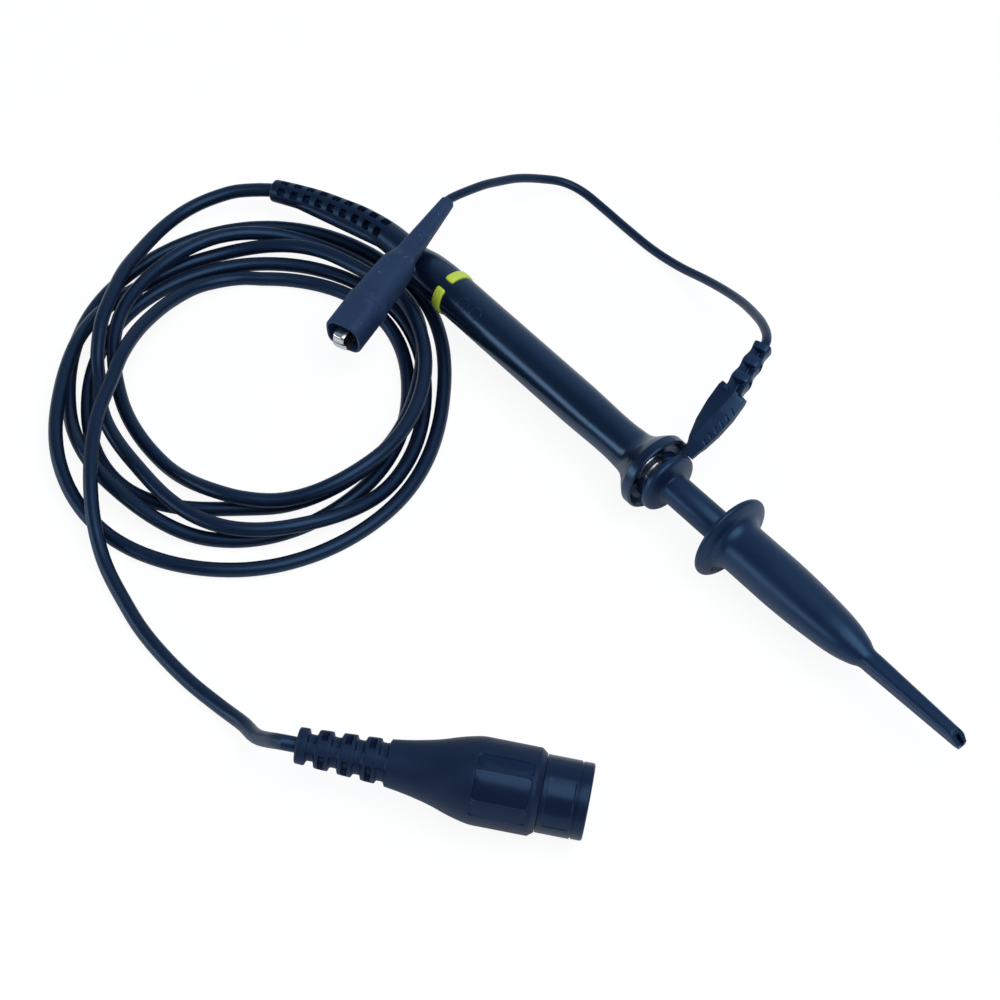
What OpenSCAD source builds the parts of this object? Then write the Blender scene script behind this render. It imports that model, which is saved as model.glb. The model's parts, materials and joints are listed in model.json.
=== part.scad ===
// Passive oscilloscope probe with a retractable hook tip, a ground lead with a crocodile clip and a
// coiled cable that ends in a bayonet plug. It lies on a flat surface. Millimetres.
// X runs along the probe towards its tip, Z is up, and Z = 0 is the surface.

/* [Grip] */
// Radius of the plain part of the grip
grip_r = 4.55; // [4.35:0.05:4.75]
// Wall of the grip
grip_wall = 1.15; // [1:0.05:1.25]
// Length from the tail of the grip to the front of the guard
grip_length = 76.6; // [74:0.2:79]
// Radius of the finger guard
guard_r = 8.0; // [7.6:0.1:8.3]
// Thickness of the guard's rim
guard_rim = 2.0; // [1.6:0.1:2.4]
// Width of the marker ring's groove
marker_width = 2.3; // [1.8:0.1:2.8]
// Angle left open in the marker ring
marker_gap = 22; // [16:1:40]

/* [Cable boot] */
// Length of the boot along the cable
boot_length = 36; // [33:0.5:38]
// Number of windows in each row
boot_windows = 9; // [6:1:10]
// Length of one window along the cable
window_length = 1.7; // [1.3:0.1:1.9]
// Width of one window
window_width = 1.8; // [1.4:0.1:2]

/* [Hook tip] */
// Radius of the hook sleeve's flange, on which the probe lies
flange_r = 8.9; // [8.6:0.1:9.3]
// Radius of the sleeve
sleeve_r = 5.1; // [4.9:0.05:5.3]
// How far the sleeve pulls back
sleeve_travel = 11; // [8:0.5:11.5]
// Radius of the carrier's tube
tube_r = 3.15; // [3.05:0.05:3.25]
// Largest radius of the carrier's dome
dome_r = 6.3; // [5.9:0.1:6.5]
// Length of the beak in front of the sleeve's neck
beak_length = 22.6; // [21:0.2:24]
// Radius of the hook's wire
wire_r = 0.3; // [0.25:0.05:0.3]
// Turns of the return spring
spring_turns = 9; // [6:1:12]

/* [Barrel] */
// Radius of the barrel under the ground collar
barrel_r = 3.4; // [3.2:0.05:3.5]
// Radius of the barrel's nose
nose_r = 2.5; // [2.4:0.05:2.55]
// Radius of the needle
needle_r = 0.6; // [0.5:0.05:0.7]

/* [Ground arm] */
// Angle of the arm above the horizontal
arm_angle = 31; // [25:1:40]
// Distance of the leaf's end from the probe's axis
arm_reach = 21.8; // [20:0.2:23]
// Thickness of the leaf at its end
arm_thick = 3.2; // [2.6:0.1:3.6]
// Radius of the ground lead
lead_r = 0.95; // [0.8:0.05:1]

/* [Clip] */
// Length of the clip's boot
clip_length = 40.6; // [39:0.2:42]
// Radius of the clip's boot behind its ring
clip_r = 4.3; // [4.1:0.05:4.4]
// Angle through which the jaw opens
jaw_angle = 7; // [4:1:7]

/* [Cable] */
// Radius of the cable
cable_r = 1.45; // [1.3:0.05:1.45]

/* [Plug] */
// Radius of the bayonet collar
collar_r = 7.0; // [6.8:0.05:7.2]
// Largest radius of the fluted grip
flute_r = 7.9; // [7.7:0.05:8.1]
// Number of flutes
flutes = 8; // [7:1:8]
// Width of one flute
flute_width = 5.4; // [4.4:0.1:5.6]
// Length of the fluted grip
flute_length = 11.7; // [10:0.1:13]
// Radius of the outer contact sleeve
contact_r = 4.05; // [4.0:0.01:4.08]
// Radius of the centre pin
pin_r = 0.675; // [0.65:0.005:0.69]
// Number of gaps between the ribs of the plug's relief
relief_gaps = 4; // [3:1:5]

/* [Hidden] */
$fn = 64;
fit = 0.05;       // running fit, radial
seat = 0.02;      // between pieces of one body
free = 0.3;       // between bodies that don't touch
axis_z = flange_r;
guard_front = -19.9;
tail_x = guard_front - grip_length;
bore_r = grip_r - grip_wall;
cup_floor = guard_front - 2.3;
barrel_back = guard_front - 9.6;
board_back = tail_x + 0.24 * grip_length;
board_length = 0.6 * grip_length;
cup_r = guard_r - 1.1;
ring_x = tail_x + 12.1;
dome_back = guard_front + 1.6;
dome_front = dome_back + 3.6;
step_x = dome_back - 0.4;
nose_x = -3.5;
carrier_front = 4;
neck_x = 37.4;
tip_x = neck_x + beak_length;
stem_r = 1.0;
stem_end = 25;
chamber_end = 28;
stem_bore = stem_end + sleeve_travel + 0.6;
slot_width = 2 * wire_r + free;
slot_half = 1.0;
hook_bend = 0.45;
contact_in = barrel_r + fit;
collar_in = contact_in + 0.32;
collar_back = cup_floor + 1.3;
collar_face = dome_back - free;

// The boot's centre line, from the tail of the grip
boot_line = [[0, 0, 0], [-4.9, 0, 0], [-9, -0.4, 0], [-14.4, -1.5, -0.1], [-19.3, -3, -0.4],
  [-24.2, -4.6, -0.8], [-28.9, -6.5, -1.3], [-34.3, -9, -1.9]];
function along(p, i) = i == 0 ? 0 : along(p, i - 1) + norm(p[i] - p[i - 1]);
boot_scale = boot_length / along(boot_line, len(boot_line) - 1);
boot_path = [for (p = boot_line) [tail_x, 0, axis_z] + boot_scale * p];
boot_end = boot_path[len(boot_path) - 1];
boot_end_r = 2.4;

// The frame: the middle of the piece without its cords, on the surface
boot_aim = unit(boot_end - boot_path[len(boot_path) - 2]);
arm_top = arm_reach * cos(arm_angle) + arm_thick / 2 * sin(arm_angle);
frame_x = (tip_x + boot_end[0] - boot_end_r * abs(boot_aim[1])) / 2;
frame_y = (arm_top + boot_end[1] - boot_end_r * abs(boot_aim[0])) / 2;

// The lead-in runs through the boot and over the coil to its first turn
lead_in_line = [[-135.9, -14.4, 6.5], [-138, -18.5, 6], [-139.3, -23, 5.5], [-139.3, -28, 5.5],
  [-138, -34, 5.8], [-135.2, -41, 6.5], [-131.6, -47.5, 7.8], [-127, -53.8, 8.4], [-123.2, -58.6, 8.3],
  [-119.8, -62, 7.2], [-116.5, -64.8, 5.8]];
// The tail leaves the last turn and crosses the coil on its way to the plug
tail_line = [[-121.1, -29.8, 1.6], [-122.4, -35.4, 2.6], [-122, -40.6, 3.7], [-120.2, -46.8, 5.4],
  [-117, -54.2, 7.2], [-113, -60.8, 8.3], [-108.6, -66.5, 8.4], [-103.6, -73, 8.4], [-97.8, -78.6, 8.3],
  [-91.7, -83.4, 7.4], [-85.6, -87.4, 5.6], [-79.9, -90.2, 3.4], [-74.8, -91.9, 1.9], [-68, -93.4, 1.5],
  [-60, -94.8, 1.47], [-52, -95.2, 1.48], [-44, -94.9, 1.52], [-36, -93.9, 1.75], [-29.6, -93.4, 3.2],
  [-24, -94.1, 6.2]];
// The ground lead runs down to the surface and up to the clip
lead_line = [[-25.6, 33, 20.8], [-29.2, 35.6, 18.8], [-33.4, 38, 16.2], [-39.4, 40.8, 12.6],
  [-46.4, 43, 8.8], [-53.7, 44.3, 5.4], [-61.6, 44.6, 2.6], [-69.6, 44.6, 1.2], [-78, 44.7, 0.96],
  [-85.4, 44.8, 1.1], [-91.6, 44.2, 1.9], [-95.6, 42, 3.2], [-97.8, 37.6, 5.4], [-98.6, 32, 8.6],
  [-98.6, 26.6, 11.2], [-98.2, 20.8, 13.8]];

// The coil: the reach of each turn from its middle, every eighth of a turn
coil_middle = [-92, -45.2];
coil_turned = 49.6;
reach = [
  29.8, 28.9, 35.6, 36.7, 35.3, 37.4, 36.9, 35.2,
  32.6, 32.6, 28.1, 31.5, 33.9, 40.6, 43.9, 35.9,
  26.0, 23.2, 28.0, 33.1, 35.4, 37.6, 40.5, 38.9,
  37.6, 42.5, 42.9, 40.6, 39.0, 44.5, 47.5, 42.8,
  36.5, 35.4, 35.9, 33.1, 31.9, 33.9, 32.6
];
// Where a turn climbs over the ones under it: first and last angle, counted from the coil's start
climbs = [[-90, 145], [460, 604], [608, 722], [765, 1008], [820, 964], [1024, 1140], [1436, 1522]];
climb_ramp = 40;
climb_lift = 3.4;
lowest = 1.45;

function unit(v) = v / norm(v);
function ease(x) = let (c = min(max(x, 0), 1)) c * c * (3 - 2 * c);
function climb(a, c) = ease((a - c[0]) / climb_ramp) * ease((c[1] - a) / climb_ramp);
function total(v, i = 0) = i == len(v) ? 0 : v[i] + total(v, i + 1);
function height(a) = lowest + climb_lift * total([for (c = climbs) climb(a, c)]);
// A smooth curve through the samples of v, at place s
function curve(v, s) =
  let (
    i = min(floor(s), len(v) - 2),
    f = s - i,
    a = v[max(i - 1, 0)],
    b = v[i],
    c = v[i + 1],
    d = v[min(i + 2, len(v) - 1)]
  )
  b + 0.5 * f * (c - a + f * (2 * a - 5 * b + 4 * c - d + f * (3 * (b - c) + d - a)));
function smooth(p, steps) = [for (k = [0 : (len(p) - 1) * steps]) curve(p, k / steps)];
function coil_point(a) =
  let (r = curve(reach, a / 45), t = a + 180 + coil_turned)
  [coil_middle[0] + r * cos(t), coil_middle[1] + r * sin(t), height(a)];
coil_angle = 45 * (len(reach) - 1);
coil_step = 15;
coil_turns = [for (a = [0 : coil_step : coil_angle]) coil_point(a)];
coil_last = len(coil_turns) - 1;
coil_in = unit(coil_turns[0] - coil_turns[1]);
coil_out = unit(coil_turns[coil_last] - coil_turns[coil_last - 1]);
coil_start = coil_turns[0] + 2 * cable_r * coil_in;
coil_end = coil_turns[coil_last] + 2 * cable_r * coil_out;
coil_path = concat([coil_start], coil_turns, [coil_end]);
// Least gap between turns, measured on points 5 degrees apart
gap_points = [for (a = [0 : 5 : coil_angle]) coil_point(a)];
coil_gap = min([for (i = [0 : len(gap_points) - 41]) for (j = [i + 40 : len(gap_points) - 1])
  norm(gap_points[i] - gap_points[j])]) - 2 * cable_r;

// The clip lies over the neck of the grip, its mouth on the coil
clip_tail = [-97.4, 11.5, axis_z + 7.05];
clip_yaw = -70.9;
clip_dip = 3.9;
clip_step = clip_length - 9.5;
jaw_pin = clip_length - 11;
jaw_z = 1.15;
jaw_plate = 0.4;
clip_room = (jaw_z + jaw_plate) * cos(jaw_angle) + 11 * sin(jaw_angle) + 0.27;
function from_clip(x) = clip_tail + x * [cos(clip_yaw) * cos(clip_dip), sin(clip_yaw) * cos(clip_dip),
  -sin(clip_dip)];

// The relief of the ground lead goes on from the end of the arm
relief_from = [-19.5, arm_reach * cos(arm_angle), axis_z + arm_reach * sin(arm_angle)];
relief_yaw = 108;
relief_rise = 8;
relief_length = 12;
relief_aim = [cos(relief_yaw) * cos(relief_rise), sin(relief_yaw) * cos(relief_rise), sin(relief_rise)];

// The plug lies on its rim and on the front edge of the flutes
rim_length = 8.9;
flute_front = 10.3;
flute_back = flute_front + flute_length;
taper_back = flute_back + 14;
relief_back = taper_back + 16.5;
plug_tilt = atan((flute_r - collar_r) / flute_front);
plug_turn = 39.7;
contact_root = -6.8;
pin_root = -6.0;
pin_root_r = pin_r + 0.4;
plug_at = [25.1, -58.1, collar_r * cos(plug_tilt) + seat];
plug_aim = [cos(plug_turn) * cos(plug_tilt), sin(plug_turn) * cos(plug_tilt), -sin(plug_tilt)];

echo(coil_gap = coil_gap);

// Places

module in_frame() {
  translate([-frame_x, -frame_y, 0]) children();
}

// Local Z runs along the probe from x = 0, local X is down and local Y is the row's Y
module on_probe() {
  in_frame() translate([0, 0, axis_z]) rotate([0, 90, 0]) children();
}

// Local Z runs from the clip's tail to its mouth, local X is down
module on_clip() {
  in_frame() translate(clip_tail) rotate([0, 0, clip_yaw]) rotate([0, 90 + clip_dip, 0]) children();
}

// Local Z points out of the plug's mouth, from the plane of its rim
module on_plug() {
  in_frame() translate(plug_at) rotate([0, 0, plug_turn]) rotate([0, 90 + plug_tilt, 0]) children();
}

// Shapes

function aim(p, i) = unit(p[min(i + 1, len(p) - 1)] - p[max(i - 1, 0)]);
function hoop(p, i, r, sides) =
  let (t = aim(p, i), n = unit(cross([0, 0, 1], t)), b = cross(t, n))
  [for (k = [0 : sides - 1]) p[i] + r * (cos(360 * k / sides) * n + sin(360 * k / sides) * b)];

// A tube of one radius, or of one radius per point, along the points of p
module tube(p, r, sides) {
  last = len(p) - 1;
  points = [for (i = [0 : last]) each hoop(p, i, is_list(r) ? r[i] : r, sides)];
  sides_a = [for (i = [0 : last - 1]) for (k = [0 : sides - 1])
    [i * sides + k, (i + 1) * sides + k, i * sides + (k + 1) % sides]];
  sides_b = [for (i = [0 : last - 1]) for (k = [0 : sides - 1])
    [(i + 1) * sides + k, (i + 1) * sides + (k + 1) % sides, i * sides + (k + 1) % sides]];
  first_end = [[for (k = [0 : sides - 1]) k]];
  last_end = [[for (k = [0 : sides - 1]) last * sides + sides - 1 - k]];
  polyhedron(points = points, faces = concat(first_end, sides_a, sides_b, last_end));
}

// A ring or tube about local Z
module pipe(outer, inner, from, to) {
  translate([0, 0, from]) difference() {
    cylinder(r = outer, h = to - from);
    translate([0, 0, -1]) cylinder(r = inner, h = to - from + 2);
  }
}

module bar(r, from, to) {
  translate([0, 0, from]) cylinder(r = r, h = to - from);
}

// Probe body

grip_outline = smooth([[2.75, tail_x], [3.15, tail_x + 1.4], [3.6, tail_x + 3.4],
  [grip_r - 0.42, tail_x + 5.9], [grip_r - 0.12, tail_x + 8.9], [grip_r, tail_x + 11]], 3);
guard_outline = smooth([[grip_r, -43], [grip_r - 0.1, -39], [grip_r - 0.22, -35], [grip_r - 0.22, -31.5],
  [grip_r - 0.08, -29], [grip_r + 0.2, -26.6], [grip_r + 1.2, -24.9], [guard_r - 0.9, -23.5],
  [guard_r - 0.1, guard_front - 0.6 - guard_rim]], 3);

module handle_shell() {
  color([0.08, 0.09, 0.11]) on_probe() {
    difference() {
      rotate_extrude() polygon(concat([[0, tail_x]], grip_outline, guard_outline,
        [[guard_r, guard_front - 0.3 - guard_rim], [guard_r, guard_front - 0.6],
        [guard_r - 0.3, guard_front], [cup_r, guard_front], [cup_r - 0.5, cup_floor], [0, cup_floor]]));
      // groove of the marker ring, with a key left in it
      difference() {
        pipe(grip_r + 1, grip_r - 0.65, ring_x, ring_x + marker_width);
        rotate([0, 0, 180 + 26.6 - marker_gap / 2]) rotate_extrude(angle = marker_gap)
          translate([0, ring_x - 1]) square([grip_r, marker_width + 2]);
      }
      bar(bore_r, tail_x + 8.5, barrel_back + 2.5);
      bar(2.2, tail_x - 1, tail_x + 9);
      bar(barrel_r, barrel_back - 0.5, cup_floor + 1);
    }
  }
}

module marker_ring() {
  color([0.72, 0.84, 0.12]) on_probe()
    rotate([0, 0, 180 + 26.6 + marker_gap / 2 + 1]) rotate_extrude(angle = 358 - marker_gap)
      translate([0, ring_x + seat]) polygon([[grip_r - 0.65 + seat, 0], [grip_r + 0.05, 0],
        [grip_r + 0.2, 0.25], [grip_r + 0.2, marker_width - 0.3], [grip_r + 0.05, marker_width - 2 * seat],
        [grip_r - 0.65 + seat, marker_width - 2 * seat]]);
}

boot_fine = smooth(boot_path, 3);
boot_last = len(boot_fine) - 1;
boot_radii = [for (i = [0 : boot_last]) 3.25 + (boot_end_r - 3.25) * i / boot_last];

module cable_boot() {
  pitch = boot_last / (boot_windows + 2.4);
  color([0.08, 0.09, 0.11]) in_frame() difference() {
    tube(boot_fine, boot_radii, 24);
    tube(concat([boot_fine[0] + [1, 0, 0]], boot_fine, [boot_end + boot_aim]), cable_r + fit, 24);
    translate([tail_x - seat, -5, axis_z - 5]) cube(10);
    for (k = [0 : boot_windows - 1]) {
      place = boot_last - (k + 0.9) * pitch;
      at = curve(boot_fine, place);
      way = unit(curve(boot_fine, place + 0.5) - curve(boot_fine, place - 0.5));
      for (turned = [-16.5, 43.5])
        translate(at) rotate([0, 0, atan2(way[1], way[0])]) rotate([-turned, 0, 0])
          translate([0, 0, cable_r + 2]) cube([window_length, window_width, 4], center = true);
    }
  }
}

module ground_barrel() {
  color([0.78, 0.78, 0.76]) on_probe() difference() {
    union() {
      bar(barrel_r - seat, barrel_back, step_x);
      bar(nose_r, step_x - 1, nose_x);
    }
    bar(nose_r - 0.5, barrel_back - 1, nose_x + 1);
  }
}

module tip_insulator() {
  color([0.9, 0.9, 0.86]) on_probe() difference() {
    union() {
      bar(nose_r - 0.5 - seat, barrel_back + 1.5, nose_x + 0.1);
      bar(1.4, nose_x, nose_x + 0.5);
    }
    bar(needle_r + seat, barrel_back, nose_x + 2);
  }
}

module probe_needle() {
  color([0.85, 0.72, 0.38]) on_probe() {
    bar(needle_r, barrel_back + 1, 1.2);
    translate([0, 0, 1.2]) cylinder(r1 = needle_r, r2 = 0.08, h = 1.1);
  }
}

module circuit_board() {
  color([0.1, 0.32, 0.2]) on_probe()
    translate([0.6, -bore_r * 0.88, board_back]) cube([0.8, bore_r * 1.76, board_length]);
}

module tip_resistor() {
  color([0.25, 0.45, 0.6]) on_probe() {
    translate([-0.65, 0, -46]) cylinder(r = 1.2, h = 9);
    translate([-0.65, 0, -49]) cylinder(r = 0.3, h = 19);
  }
}

module tip_capacitor() {
  color([0.75, 0.6, 0.35]) on_probe()
    translate([-1.2, -1.3, -60]) cube([1.8 - seat, 2.6, 4]);
}

module crimp_ferrule() {
  color([0.75, 0.62, 0.35]) on_probe() pipe(2.15, cable_r + fit, tail_x + 1, tail_x + 10.5);
}

// Hook tip

module hook_carrier() {
  color([0.09, 0.1, 0.12]) on_probe() difference() {
    union() {
      rotate_extrude() polygon(concat([[0, dome_back], [dome_r - 0.9, dome_back]],
        smooth([[dome_r - 0.45, dome_back + 0.1], [dome_r - 0.08, dome_back + 0.8], [dome_r, dome_back + 1.5],
          [dome_r - 0.12, dome_back + 2.1], [dome_r - 0.75, dome_back + 2.7], [dome_r - 1.8, dome_back + 3.1],
          [tube_r + 0.5, dome_front - 0.25], [tube_r, dome_front]], 3), [[0, dome_front]]));
      bar(tube_r, dome_front - 1, carrier_front);
    }
    bar(nose_r + fit, dome_back - 1, nose_x + 1.2);
    bar(1.6 + seat, nose_x, carrier_front - 1);
    bar(stem_r + seat, 0, carrier_front + 1);
  }
}

module contact_socket() {
  color([0.8, 0.7, 0.42]) on_probe() difference() {
    union() {
      bar(1.6, nose_x + 1.6, carrier_front - 1);
      bar(stem_r, carrier_front - 1.1, stem_end);
    }
    bar(needle_r + fit, nose_x, 2.7);
    translate([0, 0, stem_end - 4]) translate([hook_bend, 0, 0]) cylinder(r = wire_r + seat, h = 6);
  }
}

module hook_wire() {
  bend_at = tip_x - 2.5;
  color([0.8, 0.8, 0.8]) on_probe() {
    translate([hook_bend, 0, stem_end - 3.5]) cylinder(r = wire_r, h = bend_at - stem_end + 3.5, $fn = 32);
    translate([0, 0, bend_at]) rotate([90, 0, 0]) rotate_extrude(angle = 180)
      translate([hook_bend, 0]) circle(r = wire_r, $fn = 32);
    translate([-hook_bend, 0, bend_at - 1.6]) cylinder(r = wire_r, h = 1.6, $fn = 32);
  }
}

module return_spring() {
  spring_r = 2.3;
  spring_wire = 0.28;
  from = carrier_front + spring_wire + seat;
  to = chamber_end - spring_wire - seat;
  steps = spring_turns * 12;
  color([0.7, 0.7, 0.7]) on_probe()
    tube([for (i = [0 : steps]) [spring_r * cos(30 * i), spring_r * sin(30 * i), from + (to - from)
      * (i < 12 ? 0.02 * i / 12 : i > steps - 12 ? 1 - 0.02 * (steps - i) / 12
      : 0.02 + 0.96 * (i - 12) / (steps - 24))]], spring_wire, 6);
}

sleeve_outline = smooth([[sleeve_r - 0.05, 3.4], [sleeve_r, 6], [sleeve_r, 10], [sleeve_r, 14],
  [sleeve_r - 0.2, 19.5], [sleeve_r - 0.5, 24], [sleeve_r - 0.8, 28], [sleeve_r - 1.2, 31],
  [sleeve_r - 1.9, 34], [2.3, 36.4], [1.9, neck_x]], 2);

module beak() {
  translate([0, 0, 35.5]) intersection() {
    length = tip_x - 35.5;
    rotate([90, 0, 0]) translate([0, 0, -4]) linear_extrude(8) polygon([[-1.85, 0], [1.85, 0],
      [1.5, length], [0.3, length], [-1.45, length - 2.2]]);
    rotate([90, 0, 90]) translate([0, 0, -4]) linear_extrude(8) polygon([[-1.95, 0], [1.95, 0],
      [1.3, length - 0.5], [0.95, length], [-0.95, length], [-1.3, length - 0.5]]);
    rotate([0, 0, 45]) translate([-2.2, -2.2, 0]) cube([4.4, 4.4, length]);
    rotate([0, 0, 45]) rotate([90, 0, 0]) translate([0, 0, -4]) linear_extrude(8)
      polygon([[-2.1, 0], [2.1, 0], [1.55, length], [-1.55, length]]);
  }
}

module hook_sleeve() {
  color([0.11, 0.12, 0.15]) on_probe() difference() {
    union() {
      rotate_extrude() polygon(concat([[0, -0.6], [flange_r - 0.3, -0.6], [flange_r, -0.3],
        [flange_r, 0.2], [flange_r - 0.4, 0.7]],
        smooth([[sleeve_r + 2.4, 1], [sleeve_r + 1.2, 1.4], [sleeve_r + 0.4, 2.2]], 3),
        sleeve_outline, [[0, neck_x]]));
      beak();
    }
    bar(tube_r + 2 * fit, -2, chamber_end);
    bar(stem_r + 0.15, chamber_end - 1, stem_bore);
    translate([-slot_half, -slot_width / 2, stem_bore - 1]) cube([2 * slot_half, slot_width, 40]);
  }
}

// Ground arm

module ground_collar() {
  color([0.11, 0.12, 0.15]) on_probe() {
    difference() {
      pipe(collar_in + 1.4, collar_in, collar_back, collar_face);
      rotate([0, 0, 180 + 26.6]) translate([0, -collar_in * 0.72, collar_back - 1])
        cube([10, collar_in * 1.44, 5]);
    }
    // local X is down, so the leaf turns up from the row's Y
    rotate([0, 0, 90 + arm_angle]) intersection() {
      rotate([90, 0, 0]) translate([0, 0, -4]) linear_extrude(8) polygon([
        [collar_in + 1, collar_face - 0.9], [guard_r + 0.4, collar_face - 0.9], [guard_r + 1.6, -20.3],
        [13, -21.5], [17, -22.3], [arm_reach - 1, -22.7], [arm_reach, -22.4], [arm_reach, -16.8],
        [arm_reach - 1, -16.3], [17, -15.9], [12, -16], [9.4, -16.7], [dome_r + 0.6, -17.9],
        [dome_r + 0.5, collar_face], [collar_in + 1, collar_face]]);
      linear_extrude(60, center = true) polygon([[collar_in + 1, -0.9], [9, -1.2],
        [15, -arm_thick / 2 + 0.05], [arm_reach, -arm_thick / 2], [arm_reach, arm_thick / 2],
        [15, arm_thick / 2 - 0.05], [9, 1.2], [collar_in + 1, 0.9]]);
    }
    rotate([0, 0, 90 + arm_angle]) for (k = [0 : 5])
      translate([10.6 + 1.7 * k, -arm_thick / 2 - 0.1, -17.4 + 0.1 * k]) cube([0.45, 0.6, 1.1]);
  }
}

module collar_contact() {
  color([0.8, 0.8, 0.78]) on_probe() difference() {
    pipe(collar_in - seat, contact_in, collar_back + 0.1, collar_face - 0.1);
    rotate([0, 0, 180 + 26.6]) translate([0, -2.2, collar_back - 1]) cube([10, 4.4, 5]);
  }
}

module lead_relief() {
  color([0.11, 0.12, 0.15]) difference() {
    in_frame() translate(relief_from) rotate([0, 0, relief_yaw])
      rotate([0, 90 - relief_rise, 0]) difference() {
        union() {
          bar(1.5, -1, relief_length - 0.5);
          for (k = [0 : 3])
            translate([0, 0, 1.7 + 2.9 * k]) cube([3.4 - 0.15 * k, 4 - 0.15 * k, 1.9], center = true);
        }
        bar(lead_r + fit, 2, relief_length + 2);
      }
    // cut to the end face of the leaf
    on_probe() rotate([0, 0, 90 + arm_angle]) translate([0, -10, -30]) cube([arm_reach + seat, 20, 30]);
  }
}

module ground_lead() {
  from = relief_from + (relief_length - 5) * relief_aim;
  clip_back = clip_tail - from_clip(1) + clip_tail;
  path = concat([from, relief_from + (relief_length + 0.6) * relief_aim], lead_line,
    [clip_back, from_clip(7)]);
  color([0.08, 0.09, 0.11]) in_frame() tube(path, lead_r, 8);
}

// Clip

module clip_boot() {
  color([0.11, 0.12, 0.15]) on_clip() difference() {
    union() {
      rotate_extrude() polygon(concat([[0, 0]], smooth([[1.45, 0], [1.75, 5], [2.05, 10], [2.45, 15]], 2),
        smooth([[2.7, 17], [3.3, 18.6], [clip_r - 0.5, 20.4], [clip_r - 0.3, 24], [clip_r, 30]], 3),
        [[clip_r + 0.3, clip_step], [clip_r + 0.3, clip_step + 1.1], [clip_r, clip_step + 1.3],
        [clip_r, clip_step + 2], [0, clip_step + 2]]));
      intersection() {
        translate([0, 0, clip_step]) cylinder(r1 = clip_r + 0.15, r2 = clip_r, h = clip_length - clip_step);
        translate([-3.9, -4.1, 0]) cube([7.8, 8.2, clip_length]);
      }
    }
    translate([-clip_room, -2.6, 20.5]) cube([2 * clip_room, 5.2, 30]);
    bar(lead_r + fit, -1, 19);
    bar(1.3, 18, 22);
  }
}

// A jaw: a plate with two ears at the pin, its tip bent towards the other jaw
module jaw(half, plate_z, ear_in) {
  difference() {
    union() {
      translate([plate_z, -half, 21.5]) cube([jaw_plate, 2 * half, clip_length - 20.8]);
      for (side = [-1, 1])
        translate([-0.6, side * (ear_in + 0.15) - 0.15, jaw_pin - 2]) cube([plate_z + 0.8, 0.3, 4]);
      translate([0.15, -half, clip_length + 0.4]) cube([plate_z, 2 * half, jaw_plate]);
    }
    translate([0, 0, jaw_pin]) rotate([90, 0, 0]) cylinder(r = 0.5 + seat, h = 10, center = true, $fn = 32);
  }
}

module clip_jaw_lower() {
  color([0.8, 0.8, 0.8]) on_clip() jaw(1.9, 1.9, 1.6);
}

module clip_jaw_upper() {
  color([0.8, 0.8, 0.8]) on_clip() rotate([0, 0, 180]) jaw(1.3, jaw_z, 1.0);
}

module clip_pin() {
  color([0.75, 0.75, 0.75]) on_clip() translate([0, 0, jaw_pin]) rotate([90, 0, 0])
    cylinder(r = 0.5, h = 4.6, center = true, $fn = 32);
}

module clip_spring() {
  coil_r = 0.75;
  color([0.7, 0.7, 0.7]) on_clip() translate([0, 0, jaw_pin]) rotate([90, 0, 0])
    tube([for (i = [0 : 30]) [coil_r * cos(30 * i), coil_r * sin(30 * i), -0.7 + 1.4 * i / 30]], 0.18, 6);
}

// Cable

module cable_lead_in() {
  color([0.08, 0.09, 0.11]) in_frame()
    tube(concat([[tail_x + 7, 0, axis_z]], boot_path, lead_in_line,
      [coil_start + 1.5 * coil_in, coil_start + seat * coil_in]), cable_r, 8);
}

module cable_coil() {
  color([0.08, 0.09, 0.11]) in_frame() tube(coil_path, cable_r, 6);
}

module cable_tail() {
  relief_end = plug_at - relief_back * plug_aim;
  path = concat([coil_end + 1.5 * coil_out], tail_line, [relief_end - 3 * plug_aim, relief_end - plug_aim,
    relief_end + 2 * plug_aim, relief_end + 6 * plug_aim]);
  color([0.08, 0.09, 0.11]) in_frame()
    tube(concat([coil_end + seat * coil_out], smooth(path, 2)), cable_r, 8);
}

// Plug

module plug_relief() {
  pitch = (relief_back - taper_back - 3.7) / (relief_gaps - 1);
  color([0.1, 0.11, 0.14]) on_plug() difference() {
    translate([0, 0, -relief_back]) cylinder(r1 = 3.25, r2 = 4.2, h = relief_back - taper_back);
    for (k = [0 : relief_gaps - 1]) {
      from = -relief_back + 2 + k * pitch;
      inner = 2.4 + 0.35 * k;
      difference() {
        pipe(5, inner, from, from + 1.4);
        for (side = [0, 180]) rotate([0, 0, 45 + side])
          translate([0, -0.8, from - 1]) cube([6, 1.6, pitch + 2]);
      }
    }
    bar(cable_r + fit, -relief_back - 1, -taper_back + 1);
  }
}

module plug_housing() {
  color([0.1, 0.11, 0.14]) on_plug() difference() {
    rotate_extrude() polygon(concat([[0, -taper_back]], smooth([[4.25, -taper_back],
      [4.7, -taper_back + 3], [5.3, -taper_back + 6], [6.1, -taper_back + 8.6],
      [7.0, -taper_back + 11.2], [flute_r - 0.25, -flute_back - 0.6],
      [flute_r + 0.05, -flute_back + 1.2]], 3),
      [[flute_r, -flute_front], [collar_r, -rim_length - free], [0, -rim_length - free]]));
    for (k = [0 : flutes - 1]) rotate([0, 0, (k + 0.5) * 360 / flutes])
      translate([flute_r - 0.8, -flute_width / 2, -flute_back + 0.7]) cube([2, flute_width, flute_length - 1.6]);
    bar(5.0 + seat, -20.5, 0);
    bar(3.2, -26, -19);
    bar(cable_r + fit, -taper_back - 1, -25);
  }
}

module plug_core() {
  color([0.75, 0.75, 0.72]) on_plug() difference() {
    union() {
      bar(5.0, -20.4, -rim_length - 0.4);
      bar(3.0, -25.8, -20);
    }
    bar(contact_r - 0.55 + seat, -14, 0);
    bar(cable_r + fit, -27, -13);
  }
}

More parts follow.
